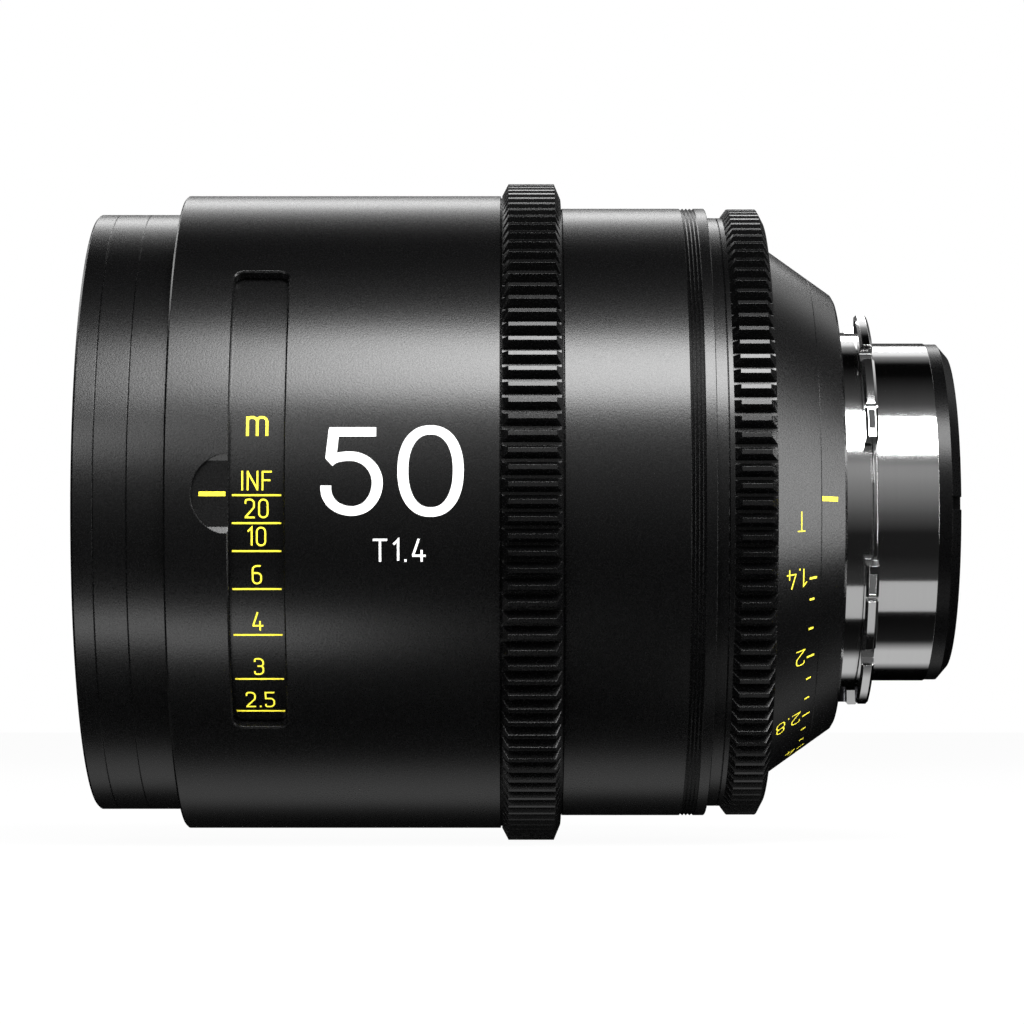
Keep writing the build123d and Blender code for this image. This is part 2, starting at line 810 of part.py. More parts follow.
# Iris: fixed plate, eleven blades and the actuator with its steep slot
blade_count = 11
iris_opening = 18.2
blade_inner = 17.0
blade_outer = 24.6
blade_span = 100.0
blade_thickness = 0.1
blade_pitch = 0.16
blade_close = 34.8
pivot_circle = 26.6
pivot_radius = 0.5
pin_gap = 0.06
drive_offset = 3.6
ear_radius = 1.3
ear_root_angle = 5.0
ear_root_inset = 1.8
plate_length = 1.5
stack_gap = 0.15
actuator_plate_length = 1.2
actuator_rear_gap = 0.3
rear_flange_x = -26.9
pin_end_gap = 0.3
housing_x = iris_seat_x - plate_length
stack_x = iris_seat_x + stack_gap
actuator_x = stack_x + blade_count * blade_pitch + stack_gap
actuator_plate_rear_x = actuator_x + actuator_plate_length
actuator_rear_x = rear_flange_x - actuator_rear_gap
drive_angle = 90 - blade_close / 2


def spoke(angle):
    """Plane square to the axis whose own x points outwards at an angle from +Y."""
    return Plane(origin=(0, 0, 0), x_dir=(0, cos(radians(angle)), sin(radians(angle))), z_dir=(1, 0, 0))


def drive_pin_at(share):
    """Place of a blade's drive pin, with the blade closed by a share of its turn."""
    angle = radians(drive_angle + blade_close * share)
    return pivot_circle + drive_offset * cos(angle), drive_offset * sin(angle)


def in_actuator(share):
    """The same place as the actuator sees it, once it has turned by that share."""
    y, z = drive_pin_at(share)
    turned_back = radians(actuator_turn * share)
    return (
        y * cos(turned_back) - z * sin(turned_back),
        y * sin(turned_back) + z * cos(turned_back),
    )


with BuildPart() as iris_housing:
    ring(housing_x, iris_seat_x, iris_opening, iris_barrel_bore + iris_seat_step - slot_gap)
    discs(
        housing_x - overrun, pivot_circle, blade_count, pivot_radius + pin_gap,
        plate_length + 2 * overrun, 0, Mode.SUBTRACT,
    )
save(iris_housing, "iris_housing")

with BuildPart() as iris_actuator:
    ring(actuator_x, actuator_plate_rear_x, iris_opening, actuator_radius)
    ring(actuator_plate_rear_x, actuator_rear_x, actuator_bore, actuator_radius)
    with BuildSketch(Plane.YZ.offset(actuator_x)) as drive_slots:
        for blade_number in range(blade_count):
            with Locations(Rotation(0, 0, 360 / blade_count * blade_number)):
                with BuildLine(mode=Mode.PRIVATE) as drive_path:
                    ThreePointArc(in_actuator(0), in_actuator(0.5), in_actuator(1))
                SlotArc(drive_path.line.edge(), 2 * (pivot_radius + pin_gap))
    extrude(amount=actuator_plate_length, mode=Mode.SUBTRACT)
    helical_slot(
        key_x, key_travel, cam_angle, actuator_turn, actuator_bore - overrun,
        actuator_radius + overrun, key_pin_radius + slot_gap,
    )
save(iris_actuator, "iris_actuator")

for blade_number in range(blade_count):
    blade_x = stack_x + blade_number * blade_pitch
    blade_plane = spoke(360 / blade_count * blade_number).offset(blade_x)
    pivot_plane = spoke(360 / blade_count * blade_number).offset(housing_x + pin_end_gap)
    with BuildPart() as iris_blade:
        with BuildSketch(blade_plane) as band:
            with BuildLine():
                inner_edge = CenterArc((0, 0), blade_inner, 0, blade_span)
                outer_edge = CenterArc((0, 0), blade_outer, 0, blade_span)
                Line(inner_edge @ 0, outer_edge @ 0)
                Line(inner_edge @ 1, outer_edge @ 1)
            make_face()
        extrude(amount=blade_thickness)
        with BuildSketch(blade_plane) as ear:
            root = ear_root_inset
            root_angle = radians(ear_root_angle)
            with BuildLine():
                CenterArc((pivot_circle, 0), ear_radius, 0, 360)
                CenterArc(drive_pin_at(0), ear_radius, 0, 360)
                CenterArc(
                    ((blade_outer - root) * cos(root_angle), (blade_outer - root) * sin(root_angle)),
                    ear_radius, 0, 360,
                )
            make_hull()
        extrude(amount=blade_thickness)
        with BuildSketch(pivot_plane) as pivot_pin:
            with Locations((pivot_circle, 0)):
                Circle(pivot_radius)
        extrude(amount=blade_x - housing_x - pin_end_gap)
        with BuildSketch(blade_plane.offset(blade_thickness)) as drive_pin:
            with Locations(drive_pin_at(0)):
                Circle(pivot_radius)
        extrude(amount=actuator_plate_rear_x - pin_end_gap - blade_x - blade_thickness)
    save(iris_blade, f"iris_blade_{blade_number + 1:02d}")

# Key between the iris ring and the actuator, in the straight slot of the main barrel
with BuildPart() as iris_key:
    straight_slot(
        key_x - key_length / 2, key_x + key_length / 2, cam_angle, iris_barrel_bore + slot_gap,
        iris_barrel_radius - slot_gap, key_width, Mode.ADD,
    )
    radial_bar(
        key_x, cam_angle, actuator_bore + slot_gap, iris_sleeve_radius - slot_gap, key_pin_radius
    )
save(iris_key, "iris_key")

# Iris ring: drive sleeve with the cam slot, gear ring, scale cone and their screws
iris_sleeve_x = -44.5
iris_flange_length = 2.1
iris_flange_width = 3.0
iris_screw_count = 6
iris_screw_length = 2.2
iris_flange_bore = cone_radius - iris_flange_width
iris_screw_circle = iris_flange_bore + screw_head_radius + 2 * screw_gap
iris_screw_seat_x = cone_x - iris_flange_length + screw_head_height
scale_wall = 1.45
scale_seat_length = 2.2
iris_gear_front_x = iris_gear_x + ring_gap / 2

with BuildPart() as iris_drive_sleeve:
    ring(iris_sleeve_x, cone_x, iris_sleeve_bore, iris_sleeve_radius)
    ring(cone_x - iris_flange_length, cone_x, iris_flange_bore, iris_sleeve_bore + seat_gap)
    helical_slot(
        key_x, key_travel, cam_angle, iris_turn, iris_sleeve_bore - overrun,
        iris_sleeve_radius + overrun, key_pin_radius + slot_gap,
    )
    screw_holes(
        iris_screw_seat_x, iris_screw_circle, iris_screw_count, screw_head_height + overrun,
        length=iris_screw_length,
    )
save(iris_drive_sleeve, "iris_drive_sleeve")

with BuildPart() as iris_gear_ring:
    gear_ring(
        iris_gear_front_x + gear_hub_length, cone_x, iris_gear_bore, iris_teeth,
        gear_hub_bevel_depth, gear_bevel_depth,
    )
    ring(iris_gear_front_x, iris_gear_front_x + gear_hub_length, iris_gear_bore, collar_radius)
save(iris_gear_ring, "iris_gear_ring")

scale_rear_x = cover_x - cover_gap / 2

with BuildPart() as iris_scale_ring:
    turned(
        (cone_x, iris_flange_bore),
        (cone_x + scale_seat_length, iris_flange_bore),
        (scale_rear_x, cone_at(scale_rear_x) - scale_wall),
        (scale_rear_x, cone_at(scale_rear_x)),
        (cone_x, cone_radius),
    )
    screw_holes(
        iris_screw_seat_x, iris_screw_circle, iris_screw_count, 0, length=iris_screw_length
    )
save(iris_scale_ring, "iris_scale_ring")

with BuildPart() as iris_ring_screws:
    screws(iris_screw_seat_x, iris_screw_circle, iris_screw_count, length=iris_screw_length)
save(iris_ring_screws, "iris_ring_screws")

# Rear cell and its glass
rear_cell_x = -42.0
rear_flange_length = 2.0
rear_tube_x = -12.0
rear_cell_end_x = 7.0
rear_tube_gap = 0.3
rear_tube_radius = tube_bore - rear_tube_gap
doublet_vertex_x = -35.0
doublet_front_thickness = 2.5
doublet_edge = 21.5
doublet_front_curve = -45.0
doublet_joint_curve = 200.0
doublet_back_thickness = 10.5
doublet_back_curve = 50.0
rear_vertex_x = -20.5
rear_thickness = 8.0
rear_edge = 21.0
rear_curve = 80.0
last_vertex_x = -2.0
last_thickness = 5.0
last_edge = 20.0
last_front_curve = -60.0
last_rear_curve = 90.0
rear_retainer_length = 1.0
doublet_back_x = doublet_vertex_x + doublet_front_thickness + cement_gap
doublet_bore = doublet_edge - lip
rear_seat_bore = rear_edge + lens_gap
rear_bore = rear_edge - lip
last_seat_bore = last_edge + lens_gap
last_bore = last_edge - lip
doublet_rear_x = doublet_back_x + doublet_back_thickness
doublet_glass_x = doublet_vertex_x + touch(doublet_front_curve, doublet_edge, doublet_bore)
doublet_seat_x = doublet_rear_x - touch(doublet_back_curve, doublet_edge, rear_seat_bore)
rear_spacer_x = doublet_rear_x - touch(doublet_back_curve, rear_edge, rear_bore)
rear_glass_x = rear_vertex_x + touch(rear_curve, rear_edge, rear_bore)
rear_seat_x = rear_vertex_x + rear_thickness - touch(rear_curve, rear_edge, last_seat_bore)
last_spacer_x = rear_vertex_x + rear_thickness - touch(rear_curve, last_edge, last_bore)
last_glass_x = last_vertex_x + touch(last_front_curve, last_edge, last_bore)
last_seat_x = last_vertex_x + last_thickness - touch(last_rear_curve, last_edge, last_bore)

with BuildPart() as rear_cell:
    turned(
        (rear_cell_x, doublet_edge + lens_gap),
        (doublet_seat_x, doublet_edge + lens_gap),
        (doublet_seat_x, rear_seat_bore),
        (rear_seat_x, rear_seat_bore),
        (rear_seat_x, last_seat_bore),
        (last_seat_x, last_seat_bore),
        (last_seat_x, last_bore),
        (rear_cell_end_x, last_bore),
        (rear_cell_end_x, rear_tube_radius),
        (rear_tube_x, rear_tube_radius),
        (rear_tube_x, rear_cell_pass_bore - slot_gap),
        (barrel_shoulder_x, rear_cell_pass_bore - slot_gap),
        (barrel_shoulder_x, iris_barrel_bore - slot_gap),
        (barrel_shoulder_x - rear_flange_length, iris_barrel_bore - slot_gap),
        (barrel_shoulder_x - rear_flange_length, actuator_bore - bearing_gap),
        (rear_cell_x, actuator_bore - bearing_gap),
    )
    screw_holes(
        barrel_shoulder_x - rear_flange_length + screw_head_height, rear_cell_screw_circle,
        rear_cell_screw_count, screw_head_height + overrun,
    )
save(rear_cell, "rear_cell")

with BuildPart() as rear_cell_screws:
    screws(
        barrel_shoulder_x - rear_flange_length + screw_head_height, rear_cell_screw_circle,
        rear_cell_screw_count,
    )
save(rear_cell_screws, "rear_cell_screws")

with BuildPart() as rear_doublet_front:
    glass(
        doublet_vertex_x, doublet_front_thickness, doublet_edge, doublet_front_curve,
        -doublet_joint_curve,
    )
save(rear_doublet_front, "rear_doublet_front")

with BuildPart() as rear_doublet_back:
    glass(
        doublet_back_x, doublet_back_thickness, doublet_edge, doublet_joint_curve,
        doublet_back_curve,
    )
save(rear_doublet_back, "rear_doublet_back")

with BuildPart() as rear_element:
    glass(rear_vertex_x, rear_thickness, rear_edge, rear_curve, rear_curve)
save(rear_element, "rear_element")

with BuildPart() as last_element:
    glass(last_vertex_x, last_thickness, last_edge, last_front_curve, last_rear_curve)
save(last_element, "last_element")

with BuildPart() as rear_retainer:
    ring(doublet_glass_x - rear_retainer_length, doublet_glass_x, doublet_bore, doublet_edge)
save(rear_retainer, "rear_retainer")

with BuildPart() as rear_spacer:
    ring(rear_spacer_x, rear_glass_x, rear_bore, rear_edge)
save(rear_spacer, "rear_spacer")

with BuildPart() as last_spacer:
    ring(last_spacer_x, last_glass_x, last_bore, last_edge)
save(last_spacer, "last_spacer")

# Mount: neck, rear cover, shim, bayonet flange, lock screw and rear ring
neck_flange_length = 2.2
spigot_step = 0.4
spigot_radius = tube_radius - spigot_step
neck_bore = spigot_radius + slot_gap
neck_front_bore = tube_bore - slot_gap
flange_thickness = 0.9
shim_thickness = 0.25
flange_spigot_length = 3.6
neck_flange_rear_x = barrel_rear_x + neck_flange_length
neck_end_x = -flange_thickness - shim_thickness
neck_step_x = neck_x
spigot_x = neck_end_x - flange_spigot_length + slot_gap
lock_screw_x = -3.5
lock_screw_radius = 0.95
lock_screw_height = 1.7
lock_screw_top = neck_radius + lock_screw_height
lock_screw_angle = -90.0
cover_front_x = cover_x + cover_gap / 2
cover_edge = 0.4

with BuildPart() as mount_neck:
    turned(
        (barrel_rear_x, neck_front_bore),
        (neck_step_x, neck_front_bore),
        (neck_step_x, neck_bore),
        (neck_end_x, neck_bore),
        (neck_end_x, neck_radius),
        (neck_flange_rear_x, neck_radius),
        (neck_flange_rear_x, neck_flange_radius),
        (barrel_rear_x, neck_flange_radius),
    )
    screw_holes(
        neck_flange_rear_x - screw_head_height, neck_screw_circle, neck_screw_count,
        screw_head_height + overrun, -1, screw_first_angle,
    )
    radial_bar(
        lock_screw_x, lock_screw_angle, tube_bore, neck_radius + overrun,
        lock_screw_radius + screw_gap, Mode.SUBTRACT,
    )
save(mount_neck, "mount_neck")

with BuildPart() as neck_screws:
    screws(
        neck_flange_rear_x - screw_head_height, neck_screw_circle, neck_screw_count, -1,
        screw_first_angle,
    )
save(neck_screws, "neck_screws")

with BuildPart() as rear_cover:
    turned(
        (neck_flange_rear_x + seat_gap, neck_radius + seat_gap),
        (neck_x, neck_radius + seat_gap),
        (neck_x, cover_radius - cover_edge),
        (neck_x - cover_edge, cone_at(neck_x - cover_edge)),
        (cover_front_x, cone_at(cover_front_x)),
        (cover_front_x, neck_flange_radius),
        (neck_flange_rear_x + seat_gap, neck_flange_radius),
    )
save(rear_cover, "rear_cover")

with BuildPart() as mount_shim:
    ring(neck_end_x, -flange_thickness, neck_bore, neck_radius - slot_gap)
save(mount_shim, "mount_shim")

# Bayonet flange: thin rim with four tabs. Angles are from the level line upwards or downwards.
tab_start_angle = 18.0
tab_groove_start_angle = 27.2
tab_groove_end_angle = 28.5
tab_notch_start_angle = 44.6
tab_notch_end_angle = 51.0
tab_end_angle = 73.5
tab_groove_depth = 0.7
tab_notch_depth = 1.7
tab_clearance = 0.4
tab_thickness = 2.0
tab_chamfer = 0.42
rim_chamfer = 0.2
tab_spans = (
    (tab_start_angle, tab_groove_start_angle, flange_tab_radius),
    (tab_groove_start_angle, tab_groove_end_angle, flange_tab_radius - tab_groove_depth),
    (tab_groove_end_angle, tab_notch_start_angle, flange_tab_radius),
    (tab_notch_start_angle, tab_notch_end_angle, flange_tab_radius - tab_notch_depth),
    (tab_notch_end_angle, tab_end_angle, flange_tab_radius),
)
tab_turns = ((0, 1), (180, -1), (180, 1), (360, -1))
tab_flat_height = 12.7
tab_flat_size = 3.0
tab_flat_width = 1.0
tab_flat_depth = 3.5


def sector(inner, outer, first_angle, last_angle):
    """Piece of a flat ring between two angles, in the open sketch."""
    inner_start = (inner * cos(radians(first_angle)), inner * sin(radians(first_angle)))
    outer_start = (outer * cos(radians(first_angle)), outer * sin(radians(first_angle)))
    inner_end = (inner * cos(radians(last_angle)), inner * sin(radians(last_angle)))
    outer_end = (outer * cos(radians(last_angle)), outer * sin(radians(last_angle)))
    middle = radians((first_angle + last_angle) / 2)
    with BuildLine() as outline:
        Line(inner_start, outer_start)
        ThreePointArc(outer_start, (outer * cos(middle), outer * sin(middle)), outer_end)
        Line(outer_end, inner_end)
        ThreePointArc(inner_end, (inner * cos(middle), inner * sin(middle)), inner_start)
    return outline.line


with BuildPart() as mount_flange:
    for inner, front, rear in (
        (tube_bore + tube_wall / 2, -flange_thickness, 0),
        (flange_rim_radius + tab_clearance, -tab_thickness, -flange_thickness),
    ):
        with BuildSketch(Plane.YZ.offset(front)) as tabs:
            for base, turn in tab_turns:
                for start_angle, end_angle, outer in tab_spans:
                    make_face(sector(inner, outer, base + turn * start_angle, base + turn * end_angle))
        extrude(tabs.sketch, amount=rear - front)
    tab_rims = mount_flange.edges().filter_by(GeomType.CIRCLE).filter_by(
        lambda edge: abs(edge.radius - flange_tab_radius) < seat_gap
    )
    chamfer(tab_rims, length=tab_chamfer)
    for side in (-1, 1):
        for level in (-1, 1):
            with Locations(
                (
                    -tab_thickness / 2,
                    side * (flange_tab_radius - tab_flat_depth + tab_flat_size / 2),
                    level * tab_flat_height,
                )
            ):
                Box(tab_flat_width, tab_flat_size, tab_flat_size, mode=Mode.SUBTRACT)
    turned(
        (-flange_thickness, tube_bore),
        (0, tube_bore),
        (0, flange_rim_radius - rim_chamfer),
        (-rim_chamfer, flange_rim_radius),
        (-flange_thickness + rim_chamfer, flange_rim_radius),
        (-flange_thickness, flange_rim_radius - rim_chamfer),
    )
    ring(0, tube_length, tube_bore, tube_radius)
    ring(spigot_x, -flange_thickness, tube_bore, spigot_radius)
    radial_bar(
        lock_screw_x, lock_screw_angle, tube_bore - overrun, neck_bore,
        lock_screw_radius + screw_gap, Mode.SUBTRACT,
    )
save(mount_flange, "mount_flange")

with BuildPart() as mount_lock_screw:
    radial_bar(
        lock_screw_x, lock_screw_angle, tube_bore + slot_gap, lock_screw_top, lock_screw_radius
    )
    with BuildSketch(
        Plane(
            origin=Vector(lock_screw_x, 0, 0) + around(lock_screw_angle) * lock_screw_top,
            x_dir=(1, 0, 0),
            z_dir=around(lock_screw_angle),
        )
    ) as lock_socket:
        RegularPolygon(screw_socket_radius, 6)
    extrude(amount=-screw_socket_depth, mode=Mode.SUBTRACT)
save(mount_lock_screw, "mount_lock_screw")

rear_ring_bore = last_edge
rear_ring_bevel_x = 11.5
rear_ring_bevel = 1.85
rear_ring_face_radius = rear_ring_radius - rear_ring_bevel
rear_spigot_length = 2.2
rear_slot_width = 2.0
rear_slot_depth = 1.6
rear_slot_reach = 1.5
rear_slot_inner = rear_ring_face_radius - rear_slot_reach
rear_slot_count = 2

with BuildPart() as rear_ring:
    turned(
        (tube_length - rear_spigot_length, rear_ring_bore),
        (rear_x, rear_ring_bore),
        (rear_x, rear_ring_face_radius),
        (rear_ring_bevel_x, rear_ring_radius),
        (tube_length, rear_ring_radius),
        (tube_length, tube_bore - slot_gap),
        (tube_length - rear_spigot_length, tube_bore - slot_gap),
    )
    with BuildSketch(Plane.YZ.offset(rear_x - rear_slot_depth)) as spanner_slots:
        with PolarLocations((rear_slot_inner + rear_ring_radius + overrun) / 2, rear_slot_count):
            Rectangle(rear_ring_radius + overrun - rear_slot_inner, rear_slot_width)
    extrude(amount=rear_slot_depth + overrun, mode=Mode.SUBTRACT)
save(rear_ring, "rear_ring")
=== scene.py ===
import json
from math import ceil, copysign, cos, degrees, pi, radians, sin, tan

import bpy
from bpy.props import FloatProperty, FloatVectorProperty, PointerProperty
from bpy.types import Operator, Panel, PropertyGroup
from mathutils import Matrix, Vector


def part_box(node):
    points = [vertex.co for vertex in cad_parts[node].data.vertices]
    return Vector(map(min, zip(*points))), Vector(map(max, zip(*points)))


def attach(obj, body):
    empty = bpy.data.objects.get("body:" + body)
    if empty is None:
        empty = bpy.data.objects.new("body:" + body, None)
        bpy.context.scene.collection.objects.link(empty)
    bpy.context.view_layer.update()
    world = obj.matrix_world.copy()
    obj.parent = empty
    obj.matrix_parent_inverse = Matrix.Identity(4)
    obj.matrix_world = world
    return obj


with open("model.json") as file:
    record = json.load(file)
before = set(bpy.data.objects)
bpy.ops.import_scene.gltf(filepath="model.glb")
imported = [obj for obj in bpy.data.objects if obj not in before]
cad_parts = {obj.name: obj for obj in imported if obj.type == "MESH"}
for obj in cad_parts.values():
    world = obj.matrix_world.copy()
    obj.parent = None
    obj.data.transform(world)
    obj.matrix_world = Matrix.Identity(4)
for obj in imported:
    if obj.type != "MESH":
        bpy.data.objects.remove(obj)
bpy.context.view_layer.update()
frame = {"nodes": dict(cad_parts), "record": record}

bl_info = {
    "name": "Cinema prime lens",
    "version": (1, 0, 0),
    "blender": (4, 5, 0),
    "location": "3D View > Sidebar > Lens",
    "description": "Finishes, scales and studio for a cinema prime lens",
    "category": "Object",
}

MM = 0.001


def node_radius(node):
    """Outer radius of a turned CAD node, from its box."""
    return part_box(node)[1][1]


SLEEVE_RADIUS = node_radius("outer_sleeve")
DRUM_RADIUS = node_radius("focus_scale_drum")
CONE_FRONT_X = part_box("iris_scale_ring")[0][0]
CONE_FRONT_RADIUS = node_radius("iris_scale_ring")
COVER_REAR_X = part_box("rear_cover")[1][0]
COVER_REAR_RADIUS = 34.5 * MM
CONE_SLOPE = (CONE_FRONT_RADIUS - COVER_REAR_RADIUS) / (COVER_REAR_X - CONE_FRONT_X)
RETAINER_FRONT_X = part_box("front_retainer")[0][0]


def cone_radius(x):
    """Radius of the rear cone at a place along the axis."""
    return CONE_FRONT_RADIUS - CONE_SLOPE * (x - CONE_FRONT_X)


# Sizes and colours that a user would change

class LensFinish(PropertyGroup):
    """Colours and gloss of the finishes."""

    anodised: FloatVectorProperty(
        name="Anodised", description="Colour of the anodised barrel", subtype="COLOR",
        default=(0.0012, 0.0012, 0.0013), min=0, max=1,
    )
    anodised_roughness: FloatProperty(
        name="Anodised roughness", description="How wide the barrel's highlights spread",
        default=0.27, min=0, max=1, subtype="FACTOR",
    )
    grain_size: FloatProperty(
        name="Grain size", description="Size of the blasted grain under the anodising",
        default=0.28 * MM, min=0.05 * MM, max=2 * MM, unit="LENGTH", precision=6,
    )
    steel: FloatVectorProperty(
        name="Steel", description="Colour of the polished mount", subtype="COLOR",
        default=(0.86, 0.86, 0.86), min=0, max=1,
    )
    steel_roughness: FloatProperty(
        name="Steel roughness", description="How sharp the mount's reflections are",
        default=0.09, min=0, max=1, subtype="FACTOR",
    )
    yellow: FloatVectorProperty(
        name="Yellow", description="Filled marks of the scales", subtype="COLOR",
        default=(1.0, 0.86, 0.035), min=0, max=1,
    )
    white: FloatVectorProperty(
        name="White", description="Filled figures on the sleeve", subtype="COLOR",
        default=(0.93, 0.93, 0.93), min=0, max=1,
    )
    coating: FloatVectorProperty(
        name="Coating", description="Colour that the coated glass reflects", subtype="COLOR",
        default=(0.45, 0.55, 1.0), min=0, max=1,
    )


class LensMarks(PropertyGroup):
    """Sizes of the engraved marks."""

    depth: FloatProperty(
        name="Fill height", description="How far the paint stands over its surface",
        default=0.012 * MM, min=0.001 * MM, max=0.2 * MM, unit="LENGTH", precision=6,
    )
    scale_height: FloatProperty(
        name="Scale figures", description="Height of the focus scale's figures",
        default=2.90 * MM, min=1 * MM, max=6 * MM, unit="LENGTH", precision=5,
    )
    scale_stroke: FloatProperty(
        name="Scale stroke", description="Stroke width of the focus scale",
        default=0.255 * MM, min=0.1 * MM, max=1 * MM, unit="LENGTH", precision=5,
    )
    stop_height: FloatProperty(
        name="Stop figures", description="Height of the iris scale's figures",
        default=2.85 * MM, min=1 * MM, max=6 * MM, unit="LENGTH", precision=5,
    )
    stop_stroke: FloatProperty(
        name="Stop stroke", description="Stroke width of the iris scale",
        default=0.18 * MM, min=0.08 * MM, max=1 * MM, unit="LENGTH", precision=5,
    )
    focal_height: FloatProperty(
        name="Focal length figures", description="Height of the focal length on the sleeve",
        default=13.62 * MM, min=4 * MM, max=30 * MM, unit="LENGTH", precision=5,
    )
    focal_stroke: FloatProperty(
        name="Focal length stroke", description="Stroke width of the focal length",
        default=1.60 * MM, min=0.3 * MM, max=4 * MM, unit="LENGTH", precision=5,
    )


class LensStage(PropertyGroup):
    """Camera, lamps and floor."""

    focal_length: FloatProperty(
        name="Focal length", description="Focal length of the camera",
        default=135.88, min=10, max=400, unit="CAMERA",
    )
    distance: FloatProperty(
        name="Distance", description="Camera's distance from the optical axis",
        default=0.62, min=0.2, max=5, unit="LENGTH",
    )
    elevation: FloatProperty(
        name="Elevation", description="Camera's angle above the optical axis",
        default=radians(-3.1), min=radians(-60), max=radians(60), unit="ROTATION",
    )
    aim_x: FloatProperty(
        name="Aim", description="Place along the lens that the camera looks at",
        default=-0.0561, min=-0.2, max=0.1, unit="LENGTH", precision=4,
    )
    floor_height: FloatProperty(
        name="Floor height", description="Height of the floor below the optical axis",
        default=-0.0526, min=-0.5, max=-0.052, unit="LENGTH", precision=4,
    )
    key_power: FloatProperty(
        name="Key power", description="Power of the softbox over the camera",
        default=14.6, min=0, max=200, unit="POWER",
    )
    side_power: FloatProperty(
        name="Side power", description="Power of the softbox at the mount end",
        default=8.2, min=0, max=200, unit="POWER",
    )
    rim_power: FloatProperty(
        name="Rim power", description="Power of the softbox behind the lens",
        default=1.95, min=0, max=200, unit="POWER",
    )
    fill_power: FloatProperty(
        name="Fill power", description="Power of the small panel low at the front",
        default=0.122, min=0, max=200, unit="POWER",
    )
    mount_power: FloatProperty(
        name="Mount power", description="Power of the small panel under the mount",
        default=0.0048, min=0, max=20, unit="POWER", precision=4,
    )
    low_power: FloatProperty(
        name="Low power", description="Power of the panel at the front end",
        default=2.0, min=0, max=200, unit="POWER",
    )
    left_power: FloatProperty(
        name="Left power", description="Power of the panel behind the front end",
        default=0.8, min=0, max=200, unit="POWER",
    )
    ambient: FloatProperty(
        name="Ambient", description="Even light of the studio on dull surfaces",
        default=0.30, min=0, max=2,
    )
    floor_white: FloatProperty(
        name="Floor white", description="How far the floor shows as plain white paper",
        default=0.96, min=0, max=1, subtype="FACTOR",
    )


# Shader helpers

EDGE_SAMPLES = 6


def new_group(name, inputs, outputs):
    """Empty shader node group with named sockets: (name, socket type, default)."""
    tree = bpy.data.node_groups.new(name, "ShaderNodeTree")
    for title, kind, default in inputs:
        socket = tree.interface.new_socket(name=title, in_out="INPUT", socket_type=kind)
        if default is not None:
            socket.default_value = default
    for title, kind in outputs:
        tree.interface.new_socket(name=title, in_out="OUTPUT", socket_type=kind)
    return tree, tree.nodes.new("NodeGroupInput"), tree.nodes.new("NodeGroupOutput")


def maths(tree, operation, first, second=None, third=None):
    """Math node from sockets or numbers, and its output."""
    node = tree.nodes.new("ShaderNodeMath")
    node.operation = operation
    for place, value in enumerate((first, second, third)):
        if value is None:
            continue
        if isinstance(value, (int, float)):
            node.inputs[place].default_value = value
        else:
            tree.links.new(value, node.inputs[place])
    return node.outputs[0]


def scaled(tree, colour, gain):
    """Colour socket times a number socket."""
    node = tree.nodes.new("ShaderNodeVectorMath")
    node.operation = "SCALE"
    tree.links.new(colour, node.inputs[0])
    tree.links.new(gain, node.inputs["Scale"])
    return node.outputs[0]


def noise(tree, position, scale, detail=2.0, roughness=0.5):
    """Noise texture at a position, and its value."""
    node = tree.nodes.new("ShaderNodeTexNoise")
    node.inputs["Detail"].default_value = detail
    node.inputs["Roughness"].default_value = roughness
    if isinstance(scale, (int, float)):
        node.inputs["Scale"].default_value = scale
    else:
        tree.links.new(scale, node.inputs["Scale"])
    tree.links.new(position, node.inputs["Vector"])
    return node.outputs["Fac"]


def grain_group():
    """Blasted grain: a speckled tone, a roughness and a height from a grain size."""
    tree, start, end = new_group(
        "blasted grain",
        (
            ("Position", "NodeSocketVector", None),
            ("Grain", "NodeSocketFloat", 0.28 * MM),
            ("Tone", "NodeSocketColor", (0.01, 0.01, 0.01, 1)),
            ("Speckle", "NodeSocketFloat", 0.5),
            ("Roughness", "NodeSocketFloat", 0.4),
            ("Spread", "NodeSocketFloat", 0.06),
        ),
        (
            ("Tone", "NodeSocketColor"),
            ("Roughness", "NodeSocketFloat"),
            ("Height", "NodeSocketFloat"),
        ),
    )
    scale = maths(tree, "DIVIDE", 1.0, start.outputs["Grain"])
    fine = noise(tree, start.outputs["Position"], scale, detail=1.5)
    wide = noise(tree, start.outputs["Position"], scale=55.0, detail=3.0)
    centred = maths(tree, "SUBTRACT", fine, 0.5)
    gain = maths(tree, "MULTIPLY_ADD", centred, start.outputs["Speckle"], 1.0)
    drift = maths(tree, "MULTIPLY_ADD", maths(tree, "SUBTRACT", wide, 0.5), 0.25, 1.0)
    tone = scaled(tree, start.outputs["Tone"], maths(tree, "MULTIPLY", gain, drift))
    tree.links.new(tone, end.inputs["Tone"])
    rough = maths(
        tree, "MULTIPLY_ADD", centred, start.outputs["Spread"], start.outputs["Roughness"]
    )
    tree.links.new(rough, end.inputs["Roughness"])
    tree.links.new(fine, end.inputs["Height"])
    return tree


